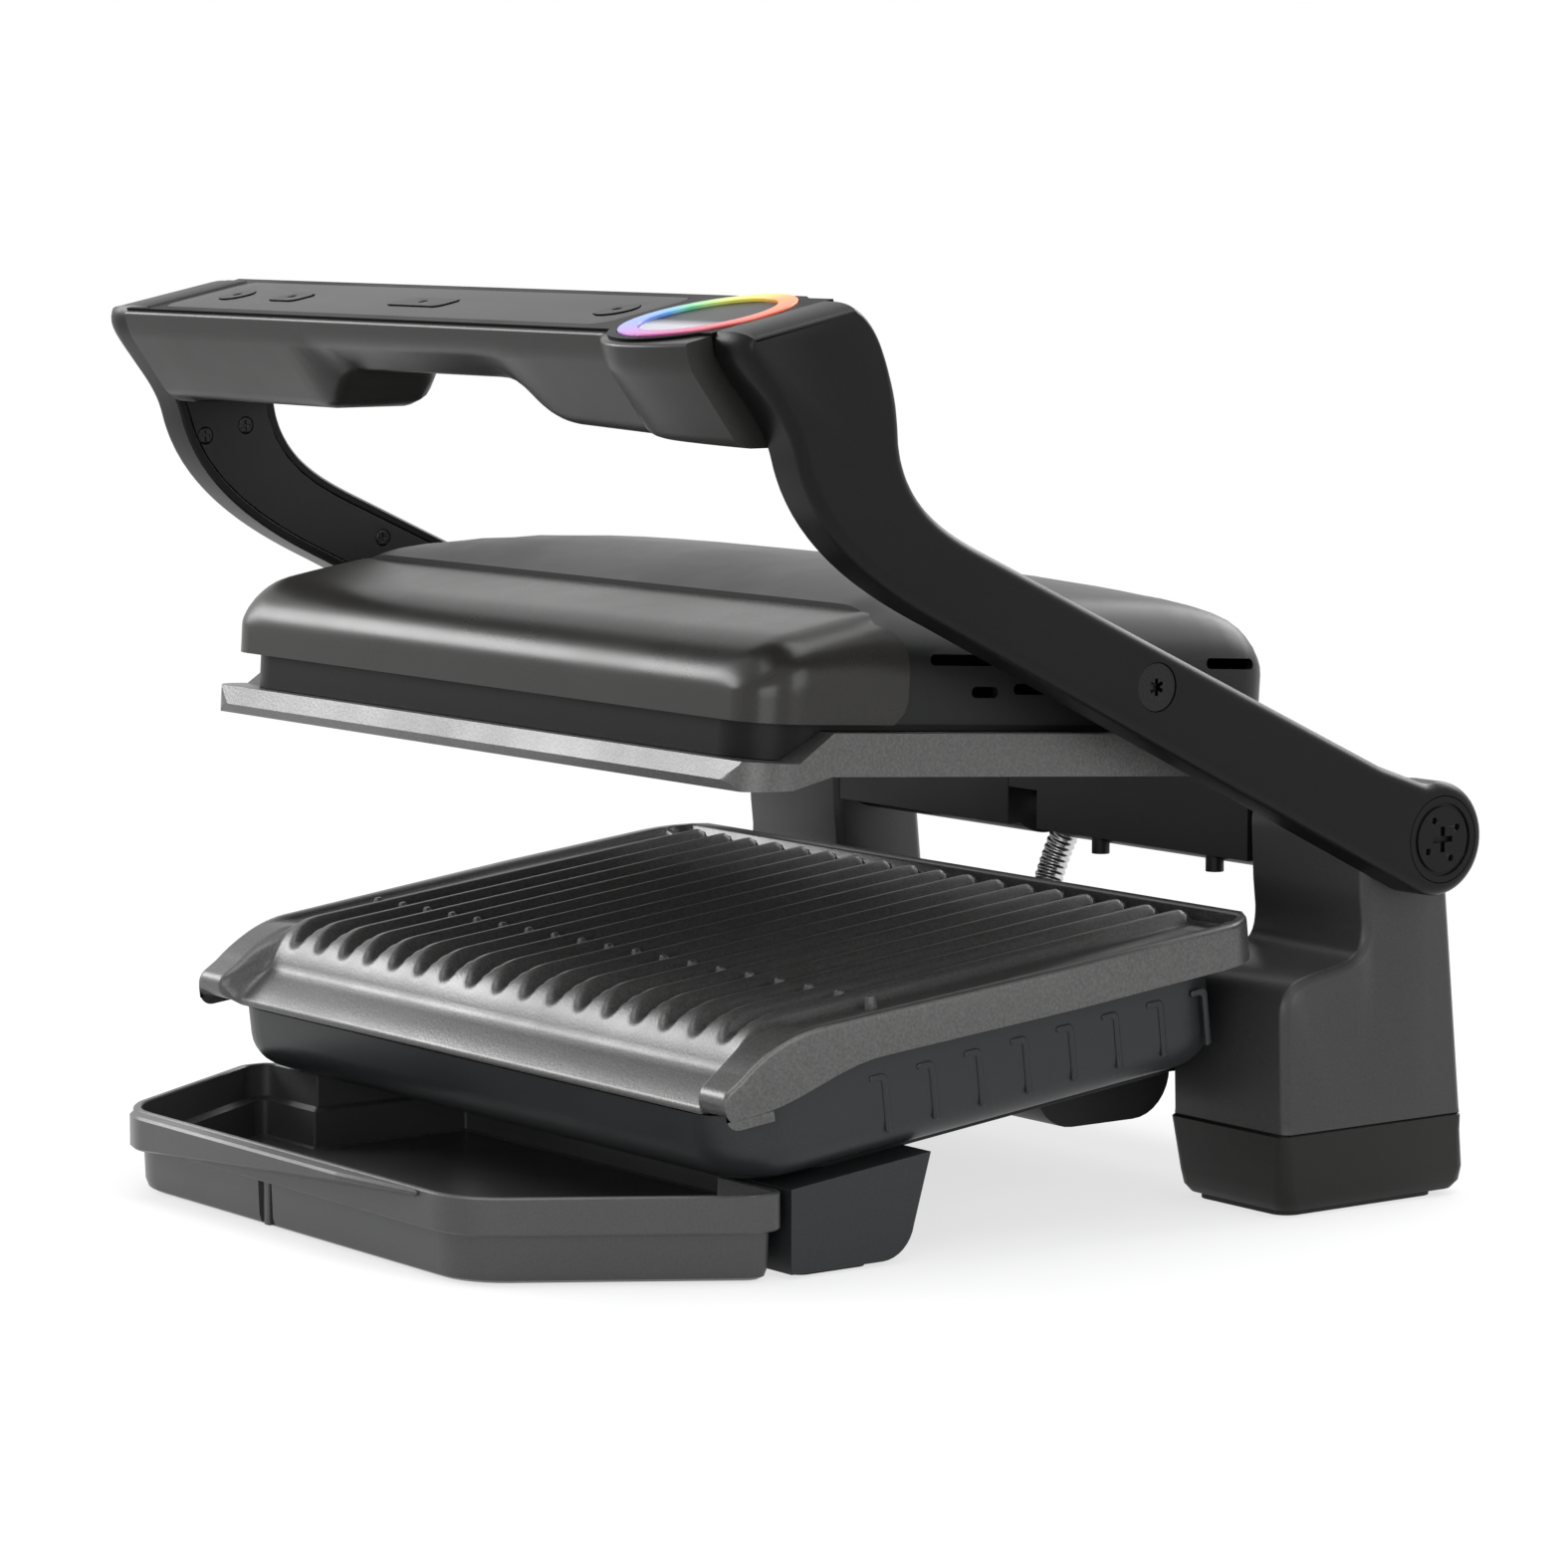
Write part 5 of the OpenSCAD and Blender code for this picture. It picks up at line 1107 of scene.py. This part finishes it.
def slot_cutter(y, z, length, side):
    outline = rounded([(y, z), (y + length, z), (y + length, z + VENT_H), (y, z + VENT_H)], [1.6] * 4, 4)
    return skin([[(side * x, p.x, p.y) for p in outline] for x in (LID_HALF - 14, LID_HALF + 2)])


key_outline = ((33.5, -3.4), (54.5, -3.4), (54.5, 5.4), (33.5, 5.4))
key_box = skin([[(x, y, z) for y, z in key_outline] for x in (-152, -143)])
slots_cut = [slot_cutter(*vent, side) for vent in VENTS for side in (-1, 1)]
cut_away(dome, slots_cut + [slot_cutter(*RIGHT_VENT, 1), key_box], LID)
BOSS_R, BOSS_FROM, BOSS_TO = 9, 146.5, 164.7
bosses = [round_bar(0, 0, BOSS_R, side * BOSS_FROM, side * BOSS_TO) for side in (-1, 1)]
new_piece("pivot_bosses", joined(bosses), LID, "lid", "lid_plastic")
print("vents:", len(slots_cut) + 1, "rear shell faces:", len(dome.data.polygons))

# %% [markdown]
# ## Housing under the plate
# The tub is one moulding with a soft round bottom. Both sides carry a row of
# raised hook-shaped marks. The wall is lower in front, where the plate's lip overhangs it.

# %% Tub and its marks
TUB_HALF, TUB_FRONT, TUB_REAR = 147, -102.3, 91.7
TUB_TOP, TUB_BOTTOM, TUB_ROUND, TUB_WALL = -15.2, -47.2, 12, 2.5
LOW_FRONT = -25.5
MARK_COUNT, MARK_START, MARK_PITCH = 8, 53, 18


def tub_ring(z, d):
    corners = [(TUB_HALF - d, TUB_FRONT + d), (TUB_HALF - d, TUB_REAR - d),
               (-TUB_HALF + d, TUB_REAR - d), (-TUB_HALF + d, TUB_FRONT + d)]
    outline = rounded(corners, [max(24 - d, 4)] * 4, 10)
    return [(p.x, p.y, min(z, LOW_FRONT) if p.y < PLATE_FRONT + 3 else z) for p in outline]


tub_rings = [tub_ring(TUB_BOTTOM + TUB_WALL, TUB_WALL + 6), tub_ring(TUB_BOTTOM + 8, TUB_WALL),
             tub_ring(TUB_TOP, TUB_WALL), tub_ring(TUB_TOP, 0.5), tub_ring(TUB_TOP - 0.5, 0),
             tub_ring(LOW_FRONT - 0.1, 0)]
for k in range(9):
    turn = math.radians(90 * k / 8)
    height = TUB_BOTTOM + TUB_ROUND * (1 - math.sin(turn))
    tub_rings.append(tub_ring(height, TUB_ROUND * (1 - math.cos(turn))))
tub_forms = [skin(tub_rings)]
hook = rounded([(0, -40), (2.2, -40), (2.2, -21.5), (-4.5, -21.5), (-4.5, -23.7), (0, -23.7)],
               [1.0, 1.0, 2.2, 0.9, 0.9, 0.8], 3)
mark_levels = ((TUB_HALF - 0.3, 0.0), (TUB_HALF + 0.2, 0.05), (TUB_HALF + 0.42, 0.3), (TUB_HALF + 0.5, 0.65))
for k in range(MARK_COUNT):
    shift = TUB_FRONT + MARK_START + MARK_PITCH * k
    for side in (-1, 1):
        mark_rings = [[(side * x, p.x + shift, p.y) for p in inset(hook, d)] for x, d in mark_levels]
        tub_forms.append(skin(mark_rings))
tub = new_piece("tub_moulding", joined(tub_forms), PLATE, "base", "tub_plastic", ["base_tub"])
print("marks:", 2 * MARK_COUNT, "tub faces:", len(tub.data.polygons))

# %% [markdown]
# ## Drip tray
# The tray is thin-walled, with a broad band round its rim that stands out from the wall below.
# A pull ledge grows out of the front rim, and a keyed groove and a small step break the front.

# %% Tray
TRAY_H, TRAY_STEP_Z, TRAY_FLOOR, TRAY_REAR = 27, 15.5, 0.5, -168


def tray_ring(z, d):
    right = [(98 - d * 0.6, -313 + d), (146 - d, -240 + d * 0.4), (146 - d, -228 - d),
             (115.7 - d, -228 - d), (115.7 - d, TRAY_REAR - d)]
    radii = [26, 9, 7, 1.5, 4]
    corners = right + [(-x, y) for x, y in reversed(right)]
    return [(p.x, p.y, z) for p in rounded(corners, [max(r - d * 0.5, 0.8) for r in radii + radii[::-1]], 6)]


# Heights and insets, from the floor up the inside, over the rim and down the outside
tray_levels = [(2.9, 6.4), (3.6, 5.6), (15.2, 5.4), (16.2, 2.5), (26.6, 2.4), (TRAY_H, 2.0), (TRAY_H, 0.5),
               (TRAY_H - 0.5, 0.0), (TRAY_STEP_Z + 0.6, 0.0), (TRAY_STEP_Z, 0.6), (TRAY_STEP_Z, 2.4),
               (TRAY_STEP_Z - 0.8, 3.0), (4.0, 3.4), (1.6, 4.2), (TRAY_FLOOR + 0.1, 6.0), (TRAY_FLOOR, 8.0)]
tray = new_piece("tray_pan", skin([tray_ring(z, d) for z, d in tray_levels]), TABLE, "tray", "tray_plastic",
                 ["drip_tray"], crease=math.radians(45))
groove = skin([[(x, y, z) for x, y in ((-19, -314), (-11, -314), (-11, -308.3), (-19, -308.3))]
               for z in (-1, TRAY_STEP_Z)])
cut_away(tray, [groove], TABLE)
print("tray faces:", len(tray.data.polygons))
key = rounded([(-16.6, -309.5), (-13.4, -309.5), (-13.4, -308), (-16.6, -308)], [0.5] * 4, 3)
key_form = skin([[(p.x, p.y, z) for p in key] for z in (1.2, TRAY_STEP_Z + 0.2)])
new_piece("tray_key", key_form, TABLE, "tray", "tray_plastic")

# %% [markdown]
# The ledge is what the fingers pull. It starts as deep as the rim's band on the left and thins
# out to the right, in one smooth sweep.

# %% Pull ledge
ledge = rounded([(-97.6, -312.2), (-80, -318.7), (40, -318.8), (94, -312.6)], [4, 24, 5, 1], 6)


def ledge_foot(x):
    return TRAY_STEP_Z + 9.2 * step(-100, 60, x)


ledge_rings = [[(p.x, p.y, ledge_foot(p.x) + rise) for p in inset(ledge, d)]
               for rise, d in ((0, 0.8), (0.6, 0.1))]
ledge_rings += [[(p.x, p.y, z) for p in inset(ledge, d)]
                for z, d in ((TRAY_H - 0.9, 0.1), (TRAY_H - 0.1, 0.9))]
ledge_piece = new_piece("tray_ledge", skin(ledge_rings), TABLE, "tray", "tray_plastic")
print("ledge faces:", len(ledge_piece.data.polygons))

# %% [markdown]
# ## Feed conduit
# A ribbed metal hose feeds the upper heater. It leans a little to the left between the rear beam
# and the crossbar's notch.

# %% Feed conduit
HOSE_R, HOSE_PITCH, HOSE_RIB = 5.0, 2.4, 0.22
HOSE_FOOT, HOSE_TOP = (-6, -14, 60), (-6, 3, 104)
hose_path = bezier(HOSE_FOOT, (-9, -8, 70), (-16, 2, 88), HOSE_TOP, 160) + [Vector(HOSE_TOP)]
circle = [Vector((math.cos(math.radians(a)), math.sin(math.radians(a)), 0)) for a in range(0, 360, 15)]
hose_rings, travelled = [], 0.0
for k, point in enumerate(hose_path):
    ahead = hose_path[min(k + 1, len(hose_path) - 1)] - hose_path[max(k - 1, 0)]
    turn = ahead.to_track_quat("Z", "Y").to_matrix()
    radius = HOSE_R - HOSE_RIB * (1 + math.cos(2 * math.pi * travelled / HOSE_PITCH))
    hose_rings.append([point + turn @ (radius * spoke) for spoke in circle])
    if k + 1 < len(hose_path):
        travelled += (hose_path[k + 1] - point).length
hose = new_piece("feed_hose", skin(hose_rings), TABLE, None, "conduit_steel", ["feed_conduit"])
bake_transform(hose)
print("hose length:", round(travelled, 1), "mm")
